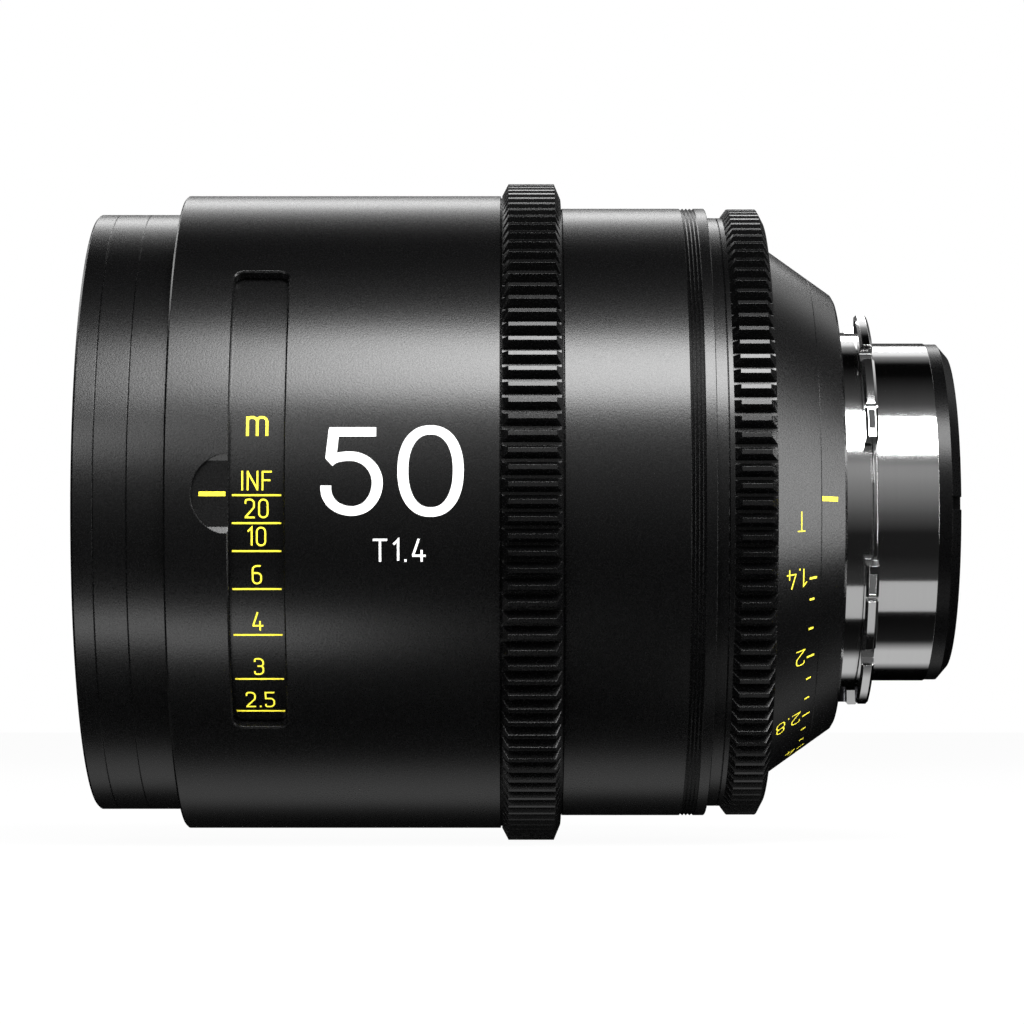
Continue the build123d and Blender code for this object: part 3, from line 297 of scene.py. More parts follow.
def turning_group():
    """Lathe marks round the optical axis: a tone, a roughness and a height."""
    tree, start, end = new_group(
        "turning marks",
        (
            ("Position", "NodeSocketVector", None),
            ("Pitch", "NodeSocketFloat", 0.12 * MM),
            ("Tone", "NodeSocketColor", (0.8, 0.8, 0.8, 1)),
            ("Roughness", "NodeSocketFloat", 0.1),
            ("Spread", "NodeSocketFloat", 0.06),
        ),
        (
            ("Tone", "NodeSocketColor"),
            ("Roughness", "NodeSocketFloat"),
            ("Height", "NodeSocketFloat"),
        ),
    )
    parts = tree.nodes.new("ShaderNodeSeparateXYZ")
    tree.links.new(start.outputs["Position"], parts.inputs[0])
    squares = maths(
        tree, "ADD", maths(tree, "MULTIPLY", parts.outputs[1], parts.outputs[1]),
        maths(tree, "MULTIPLY", parts.outputs[2], parts.outputs[2]),
    )
    radius = maths(tree, "SQRT", squares)
    place = tree.nodes.new("ShaderNodeCombineXYZ")
    tree.links.new(parts.outputs[0], place.inputs[0])
    tree.links.new(radius, place.inputs[1])
    scale = maths(tree, "DIVIDE", 1.0, start.outputs["Pitch"])
    lines = noise(tree, place.outputs[0], scale, roughness=0.6)
    smudge = noise(tree, start.outputs["Position"], scale=120.0, detail=4.0, roughness=0.6)
    centred = maths(tree, "SUBTRACT", lines, 0.5)
    gain = maths(tree, "MULTIPLY_ADD", centred, 0.10, 1.0)
    tree.links.new(scaled(tree, start.outputs["Tone"], gain), end.inputs["Tone"])
    spread = start.outputs["Spread"]
    smeared = maths(tree, "SUBTRACT", smudge, 0.5)
    worn = maths(tree, "MULTIPLY_ADD", smeared, spread, start.outputs["Roughness"])
    rough = maths(tree, "MULTIPLY_ADD", centred, spread, worn)
    tree.links.new(rough, end.inputs["Roughness"])
    tree.links.new(lines, end.inputs["Height"])
    return tree


def new_material(name):
    """Material with a Principled BSDF, its tree, shader and object position."""
    material = bpy.data.materials.new(name)
    material.use_nodes = True
    tree = material.node_tree
    shader = tree.nodes["Principled BSDF"]
    position = tree.nodes.new("ShaderNodeTexCoord").outputs["Object"]
    return material, tree, shader, position


def use_group(tree, group, position, values):
    """Place a node group, with its position linked and its values set."""
    node = tree.nodes.new("ShaderNodeGroup")
    node.node_tree = group
    tree.links.new(position, node.inputs["Position"])
    for title, value in values.items():
        node.inputs[title].default_value = value
    return node


def bump(tree, shader, height, distance, edge):
    """Bump from a height, over rounded edges where edge is a radius."""
    node = tree.nodes.new("ShaderNodeBump")
    node.inputs["Distance"].default_value = distance
    node.inputs["Strength"].default_value = 1.0
    tree.links.new(height, node.inputs["Height"])
    if edge > 0:
        bevel = tree.nodes.new("ShaderNodeBevel")
        bevel.samples = EDGE_SAMPLES
        bevel.inputs["Radius"].default_value = edge
        tree.links.new(bevel.outputs[0], node.inputs["Normal"])
    tree.links.new(node.outputs[0], shader.inputs["Normal"])


def coloured(values):
    """Four values of a colour property."""
    return (values[0], values[1], values[2], 1.0)


def grained_material(name, group, tone, roughness, spread, speckle, grain, depth, edge=0.0):
    """Black or painted finish over blasted grain."""
    material, tree, shader, position = new_material(name)
    node = use_group(
        tree, group, position,
        {"Grain": grain, "Tone": coloured(tone), "Speckle": speckle, "Roughness": roughness,
         "Spread": spread},
    )
    tree.links.new(node.outputs["Tone"], shader.inputs["Base Color"])
    tree.links.new(node.outputs["Roughness"], shader.inputs["Roughness"])
    bump(tree, shader, node.outputs["Height"], depth, edge)
    return material


def turned_material(name, group, tone, roughness, spread, pitch, depth, edge=0.0):
    """Bare metal with lathe marks."""
    material, tree, shader, position = new_material(name)
    node = use_group(
        tree, group, position,
        {"Pitch": pitch, "Tone": coloured(tone), "Roughness": roughness, "Spread": spread},
    )
    shader.inputs["Metallic"].default_value = 1.0
    tree.links.new(node.outputs["Tone"], shader.inputs["Base Color"])
    tree.links.new(node.outputs["Roughness"], shader.inputs["Roughness"])
    bump(tree, shader, node.outputs["Height"], depth, edge)
    return material


# Strokes of the figures. A point is a share of the width, a share of the height and a corner
# radius as a share of the height.
FIGURE_SHARES = {
    "0": (0.54, [(True, [(0, 0, 0.24), (0, 1, 0.24), (1, 1, 0.24), (1, 0, 0.24)])]),
    "1": (0.24, [(False, [(0, 0.78, 0), (1, 1, 0), (1, 0, 0)])]),
    "2": (0.54, [
        (False, [(0, 0.76, 0), (0, 1, 0.24), (1, 1, 0.24), (1, 0.56, 0.16), (0, 0.02, 0)]),
        (False, [(-0.08, 0, 0), (1.08, 0, 0)]),
    ]),
    "3": (0.54, [
        (False, [(0, 0.8, 0), (0, 1, 0.24), (1, 1, 0.24), (1, 0.53, 0.18), (0.3, 0.53, 0)]),
        (False, [(0.3, 0.53, 0), (1, 0.53, 0.2), (1, 0, 0.24), (0, 0, 0.24), (0, 0.2, 0)]),
    ]),
    "4": (0.6, [
        (False, [(0.5, 1.05, 0), (0, 0.24, 0)]),
        (False, [(-0.06, 0.24, 0), (1.08, 0.24, 0)]),
        (False, [(0.74, 0.52, 0), (0.74, -0.05, 0)]),
    ]),
    "5": (0.54, [
        (False, [(1.05, 1, 0), (0, 1, 0), (0, 0.58, 0), (1, 0.58, 0.22), (1, 0, 0.24),
                 (0, 0, 0.24), (0, 0.18, 0)]),
    ]),
    "6": (0.54, [
        (False, [(0.95, 1, 0), (0, 1, 0.24), (0, 0, 0.24), (1, 0, 0.24), (1, 0.6, 0.24),
                 (0.02, 0.6, 0)]),
    ]),
    "7": (0.54, [(False, [(-0.05, 1, 0), (1, 1, 0), (0.3, -0.05, 0)])]),
    "8": (0.54, [
        (True, [(0, 0, 0.24), (0, 0.54, 0.18), (1, 0.54, 0.18), (1, 0, 0.24)]),
        (True, [(0.05, 0.54, 0.16), (0.05, 1, 0.2), (0.95, 1, 0.2), (0.95, 0.54, 0.16)]),
    ]),
    "9": (0.54, [
        (False, [(0.05, 0, 0), (1, 0, 0.24), (1, 1, 0.24), (0, 1, 0.24), (0, 0.4, 0.24),
                 (0.98, 0.4, 0)]),
    ]),
    ".": (0.04, [(False, [(0.5, -0.05, 0), (0.5, 0.07, 0)])]),
    "I": (0.04, [(False, [(0.5, -0.05, 0), (0.5, 1.05, 0)])]),
    "N": (0.62, [
        (False, [(0, -0.05, 0), (0, 1.05, 0)]),
        (False, [(0.0, 1, 0), (1.0, 0, 0)]),
        (False, [(1, -0.05, 0), (1, 1.05, 0)]),
    ]),
    "F": (0.56, [
        (False, [(0, -0.05, 0), (0, 1, 0), (1.05, 1, 0)]),
        (False, [(0, 0.52, 0), (0.9, 0.52, 0)]),
    ]),
    "T": (0.66, [(False, [(-0.05, 1, 0), (1.05, 1, 0)]), (False, [(0.5, 1, 0), (0.5, -0.05, 0)])]),
    "m": (1.1, [
        (False, [(0, -0.05, 0), (0, 1.05, 0)]),
        (False, [(0, 0.6, 0), (0, 1, 0.32), (0.5, 1, 0.32), (0.5, -0.05, 0)]),
        (False, [(0.5, 0.6, 0), (0.5, 1, 0.32), (1, 1, 0.32), (1, -0.05, 0)]),
    ]),
}

# Centre lines of the focal length's figures, as shares of their height
FIVE_BOWL_SHARES = (
    (0.094, 0.590), (0.125, 0.617), (0.165, 0.637), (0.230, 0.652), (0.323, 0.658),
    (0.410, 0.645), (0.500, 0.600), (0.570, 0.525), (0.608, 0.440), (0.617, 0.366),
    (0.605, 0.275), (0.565, 0.185), (0.490, 0.105), (0.400, 0.068), (0.315, 0.062),
    (0.215, 0.085), (0.125, 0.145), (0.075, 0.225), (0.061, 0.290), (0.060, 0.337),
)
FIVE_STEM_SHARES = ((0.147, 0.955), (0.112, 0.626))
FIVE_BAR_SHARES = ((0.095, 0.928), (0.602, 0.928))
ZERO_CENTRE_SHARES = (1.194, 0.5)
ZERO_REACH_SHARES = (0.300, 0.450)
ZERO_POWER = 2.25
ZERO_STEPS = 96
FOCAL_WIDTH_SHARE = 1.552
FOCAL_THIN_SHARE = 0.12

# How strokes are laid out
CORNER_STEPS = 8
GENTLEST_CORNER = 0.2
ARC_HANDLE_SHARE = 0.4477
SPLINE_STEPS = 6
LONGEST_STEP = 0.35 * MM
SHORTEST_STEP = 0.004 * MM
LAYER_STEP = 0.0015 * MM
LAYERS = 5
SHARPEST_MITRE_SHARE = 0.35


def rounded(points, closed):
    """Centre line with its corners rounded by cubic arcs."""
    line = []
    count = len(points)
    for index, (x, y, radius) in enumerate(points):
        corner = Vector((x, y))
        if radius == 0 or (not closed and index in (0, count - 1)):
            line.append(corner)
            continue
        before = Vector(points[index - 1][:2]) - corner
        after = Vector(points[(index + 1) % count][:2]) - corner
        angle = before.angle(after)
        steepness = max(GENTLEST_CORNER, tan(angle / 2))
        reach = min(radius / steepness, before.length / 2, after.length / 2)
        before.normalize()
        after.normalize()
        handle = reach * ARC_HANDLE_SHARE
        first, last = corner + before * reach, corner + after * reach
        near, far = corner + before * handle, corner + after * handle
        for step in range(CORNER_STEPS + 1):
            share = step / CORNER_STEPS
            rest = 1 - share
            line.append(
                first * rest**3 + near * (3 * rest * rest * share)
                + far * (3 * rest * share * share) + last * share**3
            )
    return line


def spline(points):
    """Smooth centre line through points."""
    line = []
    for index in range(len(points) - 1):
        before, here = points[max(index - 1, 0)], points[index]
        there, after = points[index + 1], points[min(index + 2, len(points) - 1)]
        bend = before * 2 - here * 5 + there * 4 - after
        twist = here * 3 - before - there * 3 + after
        for step in range(SPLINE_STEPS):
            share = step / SPLINE_STEPS
            line.append(
                (here * 2 + (there - before) * share + bend * share**2 + twist * share**3) / 2
            )
    line.append(points[-1])
    return line


def divided(line, closed, longest):
    """The same centre line with no step longer than a limit."""
    ends = list(zip(line, line[1:] + line[:1])) if closed else list(zip(line, line[1:]))
    fine = []
    for here, there in ends:
        pieces = max(1, ceil((there - here).length / longest))
        for piece in range(pieces):
            fine.append(here.lerp(there, piece / pieces))
    if not closed:
        fine.append(line[-1])
    return fine


class Surface:
    """Where figures stand: a place on a turned or flat surface, and which way they read."""

    def __init__(self, x, angle, radius, slope=0.0, turn=1, flat=False):
        self.x, self.angle, self.radius, self.slope = x, radians(angle), radius, slope
        self.turn, self.flat = turn, flat

    def at(self, along, up, lift):
        """Point on the surface, with a lift over it."""
        x = self.x + self.turn * along
        radius = self.radius - self.slope * (x - self.x)
        if self.flat:
            return Vector((x, -radius - lift, self.turn * up))
        angle = self.angle + self.turn * up / self.radius
        return Vector((x, -(radius + lift) * cos(angle), (radius + lift) * sin(angle)))


class MarkMesh:
    """Collects painted strokes, and makes one mesh of them."""

    def __init__(self, lift):
        self.points, self.faces, self.lift, self.count = [], [], lift, 0

    def stroke(self, surface, line, width, closed=False, thin=0.0):
        """Painted band along a centre line, thinner by a share where it runs along the axis."""
        merged = [line[0]]
        for spot in line[1:]:
            if (spot - merged[-1]).length > SHORTEST_STEP:
                merged.append(spot)
        if closed and (merged[0] - merged[-1]).length < SHORTEST_STEP:
            merged.pop()
        line = divided(merged, closed, LONGEST_STEP)
        total = len(line)
        first = len(self.points)
        lift = self.lift + LAYER_STEP * (self.count % LAYERS)
        self.count += 1
        for index, spot in enumerate(line):
            before = line[index - 1] if closed or index else None
            after = line[(index + 1) % total] if closed or index < total - 1 else None
            ahead = (after - spot).normalized() if after is not None else None
            behind = (spot - before).normalized() if before is not None else None
            ahead, behind = ahead or behind, behind or ahead
            middle = (ahead + behind).normalized()
            mitre = max(SHARPEST_MITRE_SHARE, middle.dot(ahead))
            reach = width / 2 * (1 - thin * middle.x * middle.x) / mitre
            side = Vector((-middle.y, middle.x)) * reach
            for height in (lift, -self.lift):
                for place in (spot + side, spot - side):
                    self.points.append(surface.at(place.x, place.y, height))
        for index in range(total if closed else total - 1):
            here = first + 4 * index
            there = first + 4 * ((index + 1) % total)
            for a, b in ((0, 1), (1, 3), (3, 2), (2, 0)):
                self.faces.append((here + a, here + b, there + b, there + a))
        if not closed:
            last = first + 4 * (total - 1)
            self.faces.append((first, first + 2, first + 3, first + 1))
            self.faces.append((last, last + 1, last + 3, last + 2))

    def bar(self, surface, width, length):
        """Plain bar, centred on the surface's place, along the axis."""
        self.stroke(surface, [Vector((-length / 2, 0)), Vector((length / 2, 0))], width)

    def text(self, surface, words, height, stroke, gap_share=0.24, width_share=1.0, centred=True):
        """Line of figures with its foot on the surface's place, centred or starting there."""
        body = height - stroke
        widths = [FIGURE_SHARES[letter][0] * body * width_share for letter in words]
        gap = gap_share * height
        along = -(sum(widths) + gap * (len(words) - 1)) / 2 if centred else 0
        for letter, width in zip(words, widths):
            for closed, points in FIGURE_SHARES[letter][1]:
                shape = [
                    (along + x * width, stroke / 2 + y * body, radius * body)
                    for x, y, radius in points
                ]
                self.stroke(surface, rounded(shape, closed), stroke, closed)
            along += width + gap

    def finish(self, name, material, body, slot):
        """Make the object, give it its paint and let it ride."""
        mesh = bpy.data.meshes.new(name)
        mesh.from_pydata([tuple(point) for point in self.points], [], self.faces)
        mesh.validate()
        mesh.materials.append(material)
        piece = bpy.data.objects.new(name, mesh)
        bpy.context.collection.objects.link(piece)
        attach(piece, body)
        return piece


# Geometry Nodes

RIDGE_STEPS = 192
RIDGE_SIDES = 6
THREAD_STEPS = 160
THREAD_SIDES = 4


def new_geometry_tree(name, inputs):
    """Geometry tree with named inputs, and its in and out nodes."""
    tree = bpy.data.node_groups.new(name, "GeometryNodeTree")
    tree.interface.new_socket(name="Geometry", in_out="INPUT", socket_type="NodeSocketGeometry")
    for title, kind, default in inputs:
        socket = tree.interface.new_socket(name=title, in_out="INPUT", socket_type=kind)
        if default is not None:
            socket.default_value = default
    tree.interface.new_socket(name="Geometry", in_out="OUTPUT", socket_type="NodeSocketGeometry")
    return tree, tree.nodes.new("NodeGroupInput"), tree.nodes.new("NodeGroupOutput")


def applied(name, base, tree, values, body):
    """Run a geometry tree on a mesh and keep the result as a plain mesh on a body."""
    carrier = bpy.data.objects.new(name + "_carrier", base)
    bpy.context.collection.objects.link(carrier)
    modifier = carrier.modifiers.new(tree.name, "NODES")
    modifier.node_group = tree
    sockets = {
        item.name: item.identifier for item in tree.interface.items_tree
        if item.item_type == "SOCKET" and item.in_out == "INPUT"
    }
    for title, value in values.items():
        modifier[sockets[title]] = value
    bpy.context.view_layer.update()
    evaluated = carrier.evaluated_get(bpy.context.evaluated_depsgraph_get())
    mesh = bpy.data.meshes.new_from_object(evaluated)
    mesh.name = name
    bpy.data.objects.remove(carrier)
    if not mesh.polygons:
        raise RuntimeError(f"{name} came out empty")
    piece = bpy.data.objects.new(name, mesh)
    bpy.context.collection.objects.link(piece)
    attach(piece, body)
    return piece


def closing(tree, geometry, start, end):
    """Realize Instances and Set Material at the end of a tree."""
    real = tree.nodes.new("GeometryNodeRealizeInstances")
    paint = tree.nodes.new("GeometryNodeSetMaterial")
    tree.links.new(geometry, real.inputs[0])
    tree.links.new(real.outputs[0], paint.inputs["Geometry"])
    tree.links.new(start.outputs["Material"], paint.inputs["Material"])
    tree.links.new(paint.outputs[0], end.inputs[0])


def rings_tree():
    """Fine ridges round the optical axis, in steps from a first place and radius."""
    tree, start, end = new_geometry_tree(
        "ridges round the axis",
        (
            ("Count", "NodeSocketInt", 8),
            ("First X", "NodeSocketFloat", 0.0),
            ("First radius", "NodeSocketFloat", 0.04),
            ("Step X", "NodeSocketFloat", 0.0005),
            ("Step radius", "NodeSocketFloat", 0.0005),
            ("Ridge", "NodeSocketFloat", 0.1 * MM),
            ("Material", "NodeSocketMaterial", None),
        ),
    )
    link = tree.links.new
    line = tree.nodes.new("GeometryNodeMeshLine")
    link(start.outputs["Count"], line.inputs["Count"])
    line.inputs["Offset"].default_value = (0, 0, 0)
    index = tree.nodes.new("GeometryNodeInputIndex").outputs[0]
    place = tree.nodes.new("ShaderNodeCombineXYZ")
    along = maths(tree, "MULTIPLY_ADD", index, start.outputs["Step X"], start.outputs["First X"])
    link(along, place.inputs[0])
    moved = tree.nodes.new("GeometryNodeSetPosition")
    link(line.outputs[0], moved.inputs["Geometry"])
    link(place.outputs[0], moved.inputs["Position"])
    circle = tree.nodes.new("GeometryNodeCurvePrimitiveCircle")
    circle.inputs["Resolution"].default_value = RIDGE_STEPS
    circle.inputs["Radius"].default_value = 1.0
    upright = tree.nodes.new("GeometryNodeTransform")
    upright.inputs["Rotation"].default_value = (0, pi / 2, 0)
    link(circle.outputs[0], upright.inputs["Geometry"])
    spread = tree.nodes.new("GeometryNodeInstanceOnPoints")
    link(moved.outputs[0], spread.inputs["Points"])
    link(upright.outputs[0], spread.inputs["Instance"])
    size = maths(
        tree, "MULTIPLY_ADD", index, start.outputs["Step radius"], start.outputs["First radius"]
    )
    link(size, spread.inputs["Scale"])
    real = tree.nodes.new("GeometryNodeRealizeInstances")
    link(spread.outputs[0], real.inputs[0])
    profile = tree.nodes.new("GeometryNodeCurvePrimitiveCircle")
    profile.inputs["Resolution"].default_value = RIDGE_SIDES
    link(start.outputs["Ridge"], profile.inputs["Radius"])
    swept = tree.nodes.new("GeometryNodeCurveToMesh")
    link(real.outputs[0], swept.inputs["Curve"])
    link(profile.outputs[0], swept.inputs["Profile Curve"])
    closing(tree, swept.outputs[0], start, end)
    return tree


def thread_tree():
    """Thread: a ridge wound round the optical axis."""
    tree, start, end = new_geometry_tree(
        "thread",
        (
            ("Turns", "NodeSocketFloat", 3.0),
            ("Length", "NodeSocketFloat", 3 * MM),
            ("Radius", "NodeSocketFloat", 0.0425),
            ("First X", "NodeSocketFloat", 0.0),
            ("Ridge", "NodeSocketFloat", 0.2 * MM),
            ("Material", "NodeSocketMaterial", None),
        ),
    )
    link = tree.links.new
    spiral = tree.nodes.new("GeometryNodeCurveSpiral")
    spiral.inputs["Resolution"].default_value = THREAD_STEPS
    link(start.outputs["Turns"], spiral.inputs["Rotations"])
    link(start.outputs["Radius"], spiral.inputs["Start Radius"])
    link(start.outputs["Radius"], spiral.inputs["End Radius"])
    link(start.outputs["Length"], spiral.inputs["Height"])
    laid = tree.nodes.new("GeometryNodeTransform")
    laid.inputs["Rotation"].default_value = (0, pi / 2, 0)
    place = tree.nodes.new("ShaderNodeCombineXYZ")
    link(start.outputs["First X"], place.inputs[0])
    link(place.outputs[0], laid.inputs["Translation"])
    link(spiral.outputs[0], laid.inputs["Geometry"])
    profile = tree.nodes.new("GeometryNodeCurvePrimitiveCircle")
    profile.inputs["Resolution"].default_value = THREAD_SIDES
    link(start.outputs["Ridge"], profile.inputs["Radius"])
    swept = tree.nodes.new("GeometryNodeCurveToMesh")
    swept.inputs["Fill Caps"].default_value = True
    link(laid.outputs[0], swept.inputs["Curve"])
    link(profile.outputs[0], swept.inputs["Profile Curve"])
    closing(tree, swept.outputs[0], start, end)
    return tree


def round_tree():
    """Copies of a mark round the optical axis at an even pitch, leaving out every nth."""
    tree, start, end = new_geometry_tree(
        "marks round the axis",
        (
            ("Count", "NodeSocketInt", 10),
            ("First angle", "NodeSocketFloat", 0.0),
            ("Pitch angle", "NodeSocketFloat", 0.1),
            ("Left out every", "NodeSocketInt", 3),
            ("Material", "NodeSocketMaterial", None),
        ),
    )
    link = tree.links.new
    line = tree.nodes.new("GeometryNodeMeshLine")
    line.inputs["Offset"].default_value = (0, 0, 0)
    link(start.outputs["Count"], line.inputs["Count"])
    index = tree.nodes.new("GeometryNodeInputIndex").outputs[0]
    angle = maths(
        tree, "MULTIPLY_ADD", index, start.outputs["Pitch angle"], start.outputs["First angle"]
    )
    turn = tree.nodes.new("ShaderNodeCombineXYZ")
    link(angle, turn.inputs[0])
    place = maths(tree, "MODULO", index, start.outputs["Left out every"])
    kept = maths(tree, "GREATER_THAN", place, 0.5)
    spread = tree.nodes.new("GeometryNodeInstanceOnPoints")
    link(line.outputs[0], spread.inputs["Points"])
    link(start.outputs["Geometry"], spread.inputs["Instance"])
    link(kept, spread.inputs["Selection"])
    link(turn.outputs[0], spread.inputs["Rotation"])
    closing(tree, spread.outputs[0], start, end)
    return tree


# Operators

FINISHES = {}


class LENS_OT_finishes(Operator):
    """Make the finishes and put each on the lens's own parts"""

    bl_idname = "lens.finishes"
    bl_label = "Finishes"

    def execute(self, context):
        finish = context.scene.lens_finish
        grain, turning = grain_group(), turning_group()
        black = grained_material(
            "black anodised", grain, finish.anodised, finish.anodised_roughness, spread=0.10,
            speckle=0.9, grain=finish.grain_size, depth=0.008 * MM, edge=0.10 * MM,
        )
        sharp = grained_material(
            "grooved black", grain, finish.anodised, finish.anodised_roughness, spread=0.10,
            speckle=0.9, grain=finish.grain_size, depth=0.008 * MM, edge=0.02 * MM,
        )
        smooth = grained_material(
            "gear black", grain, finish.anodised, finish.anodised_roughness, spread=0.10,
            speckle=0.9, grain=finish.grain_size, depth=0.003 * MM, edge=0.06 * MM,
        )
        satin = grained_material(
            "rear black", grain, finish.anodised, roughness=0.28, spread=0.08,
            speckle=0.9, grain=finish.grain_size, depth=0.006 * MM, edge=0.08 * MM,
        )
        satin_shader = satin.node_tree.nodes["Principled BSDF"]
        satin_shader.inputs["Specular IOR Level"].default_value = 0.24
        inner = grained_material(
            "inner black", grain, (0.012, 0.012, 0.012), roughness=0.62, spread=0.15,
            speckle=0.6, grain=0.4 * MM, depth=0.02 * MM,
        )
        dark = turned_material(
            "dark screws", turning, (0.06, 0.06, 0.065), roughness=0.32, spread=0.1,
            pitch=0.1 * MM, depth=0.002 * MM, edge=0.06 * MM,
        )
        steel = turned_material(
            "mount steel", turning, finish.steel, finish.steel_roughness, spread=0.03,
            pitch=0.14 * MM, depth=0.00015 * MM, edge=0.08 * MM,
        )
        brass = turned_material(
            "follower brass", turning, (0.75, 0.52, 0.22), roughness=0.25, spread=0.1,
            pitch=0.12 * MM, depth=0.002 * MM,
        )
        blade = grained_material(
            "blade steel", grain, (0.03, 0.03, 0.032), roughness=0.42, spread=0.12,
            speckle=0.5, grain=0.3 * MM, depth=0.004 * MM,
        )
        yellow = grained_material(
            "yellow fill", grain, finish.yellow, roughness=0.45, spread=0.1,
            speckle=0.10, grain=0.2 * MM, depth=0.003 * MM,
        )
        white = grained_material(
            "white fill", grain, finish.white, roughness=0.45, spread=0.1,
            speckle=0.06, grain=0.2 * MM, depth=0.003 * MM,
        )
        glass, tree, shader, position = new_material("coated glass")
        shader.inputs["Base Color"].default_value = (1, 1, 1, 1)
        shader.inputs["Transmission Weight"].default_value = 1.0
        shader.inputs["IOR"].default_value = 1.52
        shader.inputs["Specular Tint"].default_value = coloured(finish.coating)
        dust = use_group(
            tree, grain, position, {"Grain": 1.5 * MM, "Roughness": 0.012, "Spread": 0.02}
        )
        tree.links.new(dust.outputs["Roughness"], shader.inputs["Roughness"])
        FINISHES.update(
            black_anodised=black, inner_black=inner, dark_screws=dark, mount_steel=steel,
            follower_brass=brass, blade_steel=blade, coated_glass=glass, yellow=yellow, white=white,
        )
        for part in frame["record"]["subparts"]:
            piece = frame["nodes"].get(part["node"])
            if piece is None:
                raise RuntimeError(f"no node named {part['node']}")
            finish_name = part["material_slot"]
            if not piece.material_slots:
                piece.data.materials.append(FINISHES[finish_name])
            for place in piece.material_slots:
                place.material = FINISHES[finish_name]
        for node, material in (
            ("mid_barrel", sharp), ("rear_ring", satin), ("focus_gear_ring", smooth),
            ("iris_gear_ring", smooth), ("iris_scale_ring", sharp), ("rear_cover", sharp),
        ):
            for place in frame["nodes"][node].material_slots:
                place.material = material
        return {"FINISHED"}


# Distance marks of the focus scale: figures, and degrees below the infinity mark
FOCUS_SCALE = (
    ("INF", 0.0), ("20", 4.84), ("10", 9.7), ("6", 16.4), ("4", 24.85), ("3", 33.6),
    ("2.5", 40.6), ("2", 50.8), ("1.7", 59.7), ("1.5", 67.7), ("1.3", 78.1), ("1.2", 84.6),
    ("1.1", 92.3), ("1", 101.5), ("0.9", 112.8), ("0.8", 126.9), ("0.7", 145.0), ("0.6", 169.2),
    ("0.5", 203.0), ("0.45", 225.6), ("0.4", 253.8),
)
FOCUS_TICK_FRONT_X = -97.5 * MM
FOCUS_TICK_REAR_X = -90.2 * MM
FOCUS_TICK_WIDTH = 0.27 * MM
FOCUS_FIGURE_LIFT = 0.72 * MM
FOCUS_ZERO_ANGLE = 0.19
UNIT_ANGLE = 12.0
UNIT_HEIGHT = 3.15 * MM
UNIT_STROKE = 0.42 * MM
UNIT_DROP = 1.6 * MM


class LENS_OT_focus_scale(Operator):
    """Paint the distance scale round the focus drum"""

    bl_idname = "lens.focus_scale"
    bl_label = "Focus scale"

    def execute(self, context):
        marks = context.scene.lens_marks
        paint = MarkMesh(marks.depth)
        middle = (FOCUS_TICK_FRONT_X + FOCUS_TICK_REAR_X) / 2
        for words, angle in FOCUS_SCALE:
            angle += FOCUS_ZERO_ANGLE
            tick = Surface(middle, -angle, DRUM_RADIUS)
            paint.bar(tick, FOCUS_TICK_WIDTH, FOCUS_TICK_REAR_X - FOCUS_TICK_FRONT_X)
            lifted = degrees(radians(-angle) + FOCUS_FIGURE_LIFT / DRUM_RADIUS)
            foot = Surface(middle, lifted, DRUM_RADIUS)
            paint.text(
                foot, words, marks.scale_height, marks.scale_stroke, gap_share=0.26,
                width_share=0.88,
            )
        dropped = degrees(radians(UNIT_ANGLE) - UNIT_DROP / DRUM_RADIUS)
        unit = Surface(middle, dropped, DRUM_RADIUS)
        paint.text(unit, "m", UNIT_HEIGHT, UNIT_STROKE, width_share=0.96)
        paint.finish("focus_scale_marks", FINISHES["yellow"], "focus_ring", "black_anodised")
        return {"FINISHED"}


# Focus index, iris index, focal length and full aperture
INDEX_FRONT_X = -102.35 * MM
INDEX_REAR_X = -98.4 * MM
INDEX_WIDTH = 0.68 * MM
RECESS_FLOOR = SLEEVE_RADIUS - 0.85 * MM
STOP_INDEX_X = -8.05 * MM
STOP_INDEX_WIDTH = 0.72 * MM
STOP_INDEX_LENGTH = 2.5 * MM
FOCAL_X = -73.8 * MM
FOCAL_FOOT_ANGLE = -3.88
APERTURE_X = -72.75 * MM
APERTURE_DROP = 10.1 * MM
APERTURE_HEIGHT = 3.42 * MM
APERTURE_STROKE = 0.33 * MM


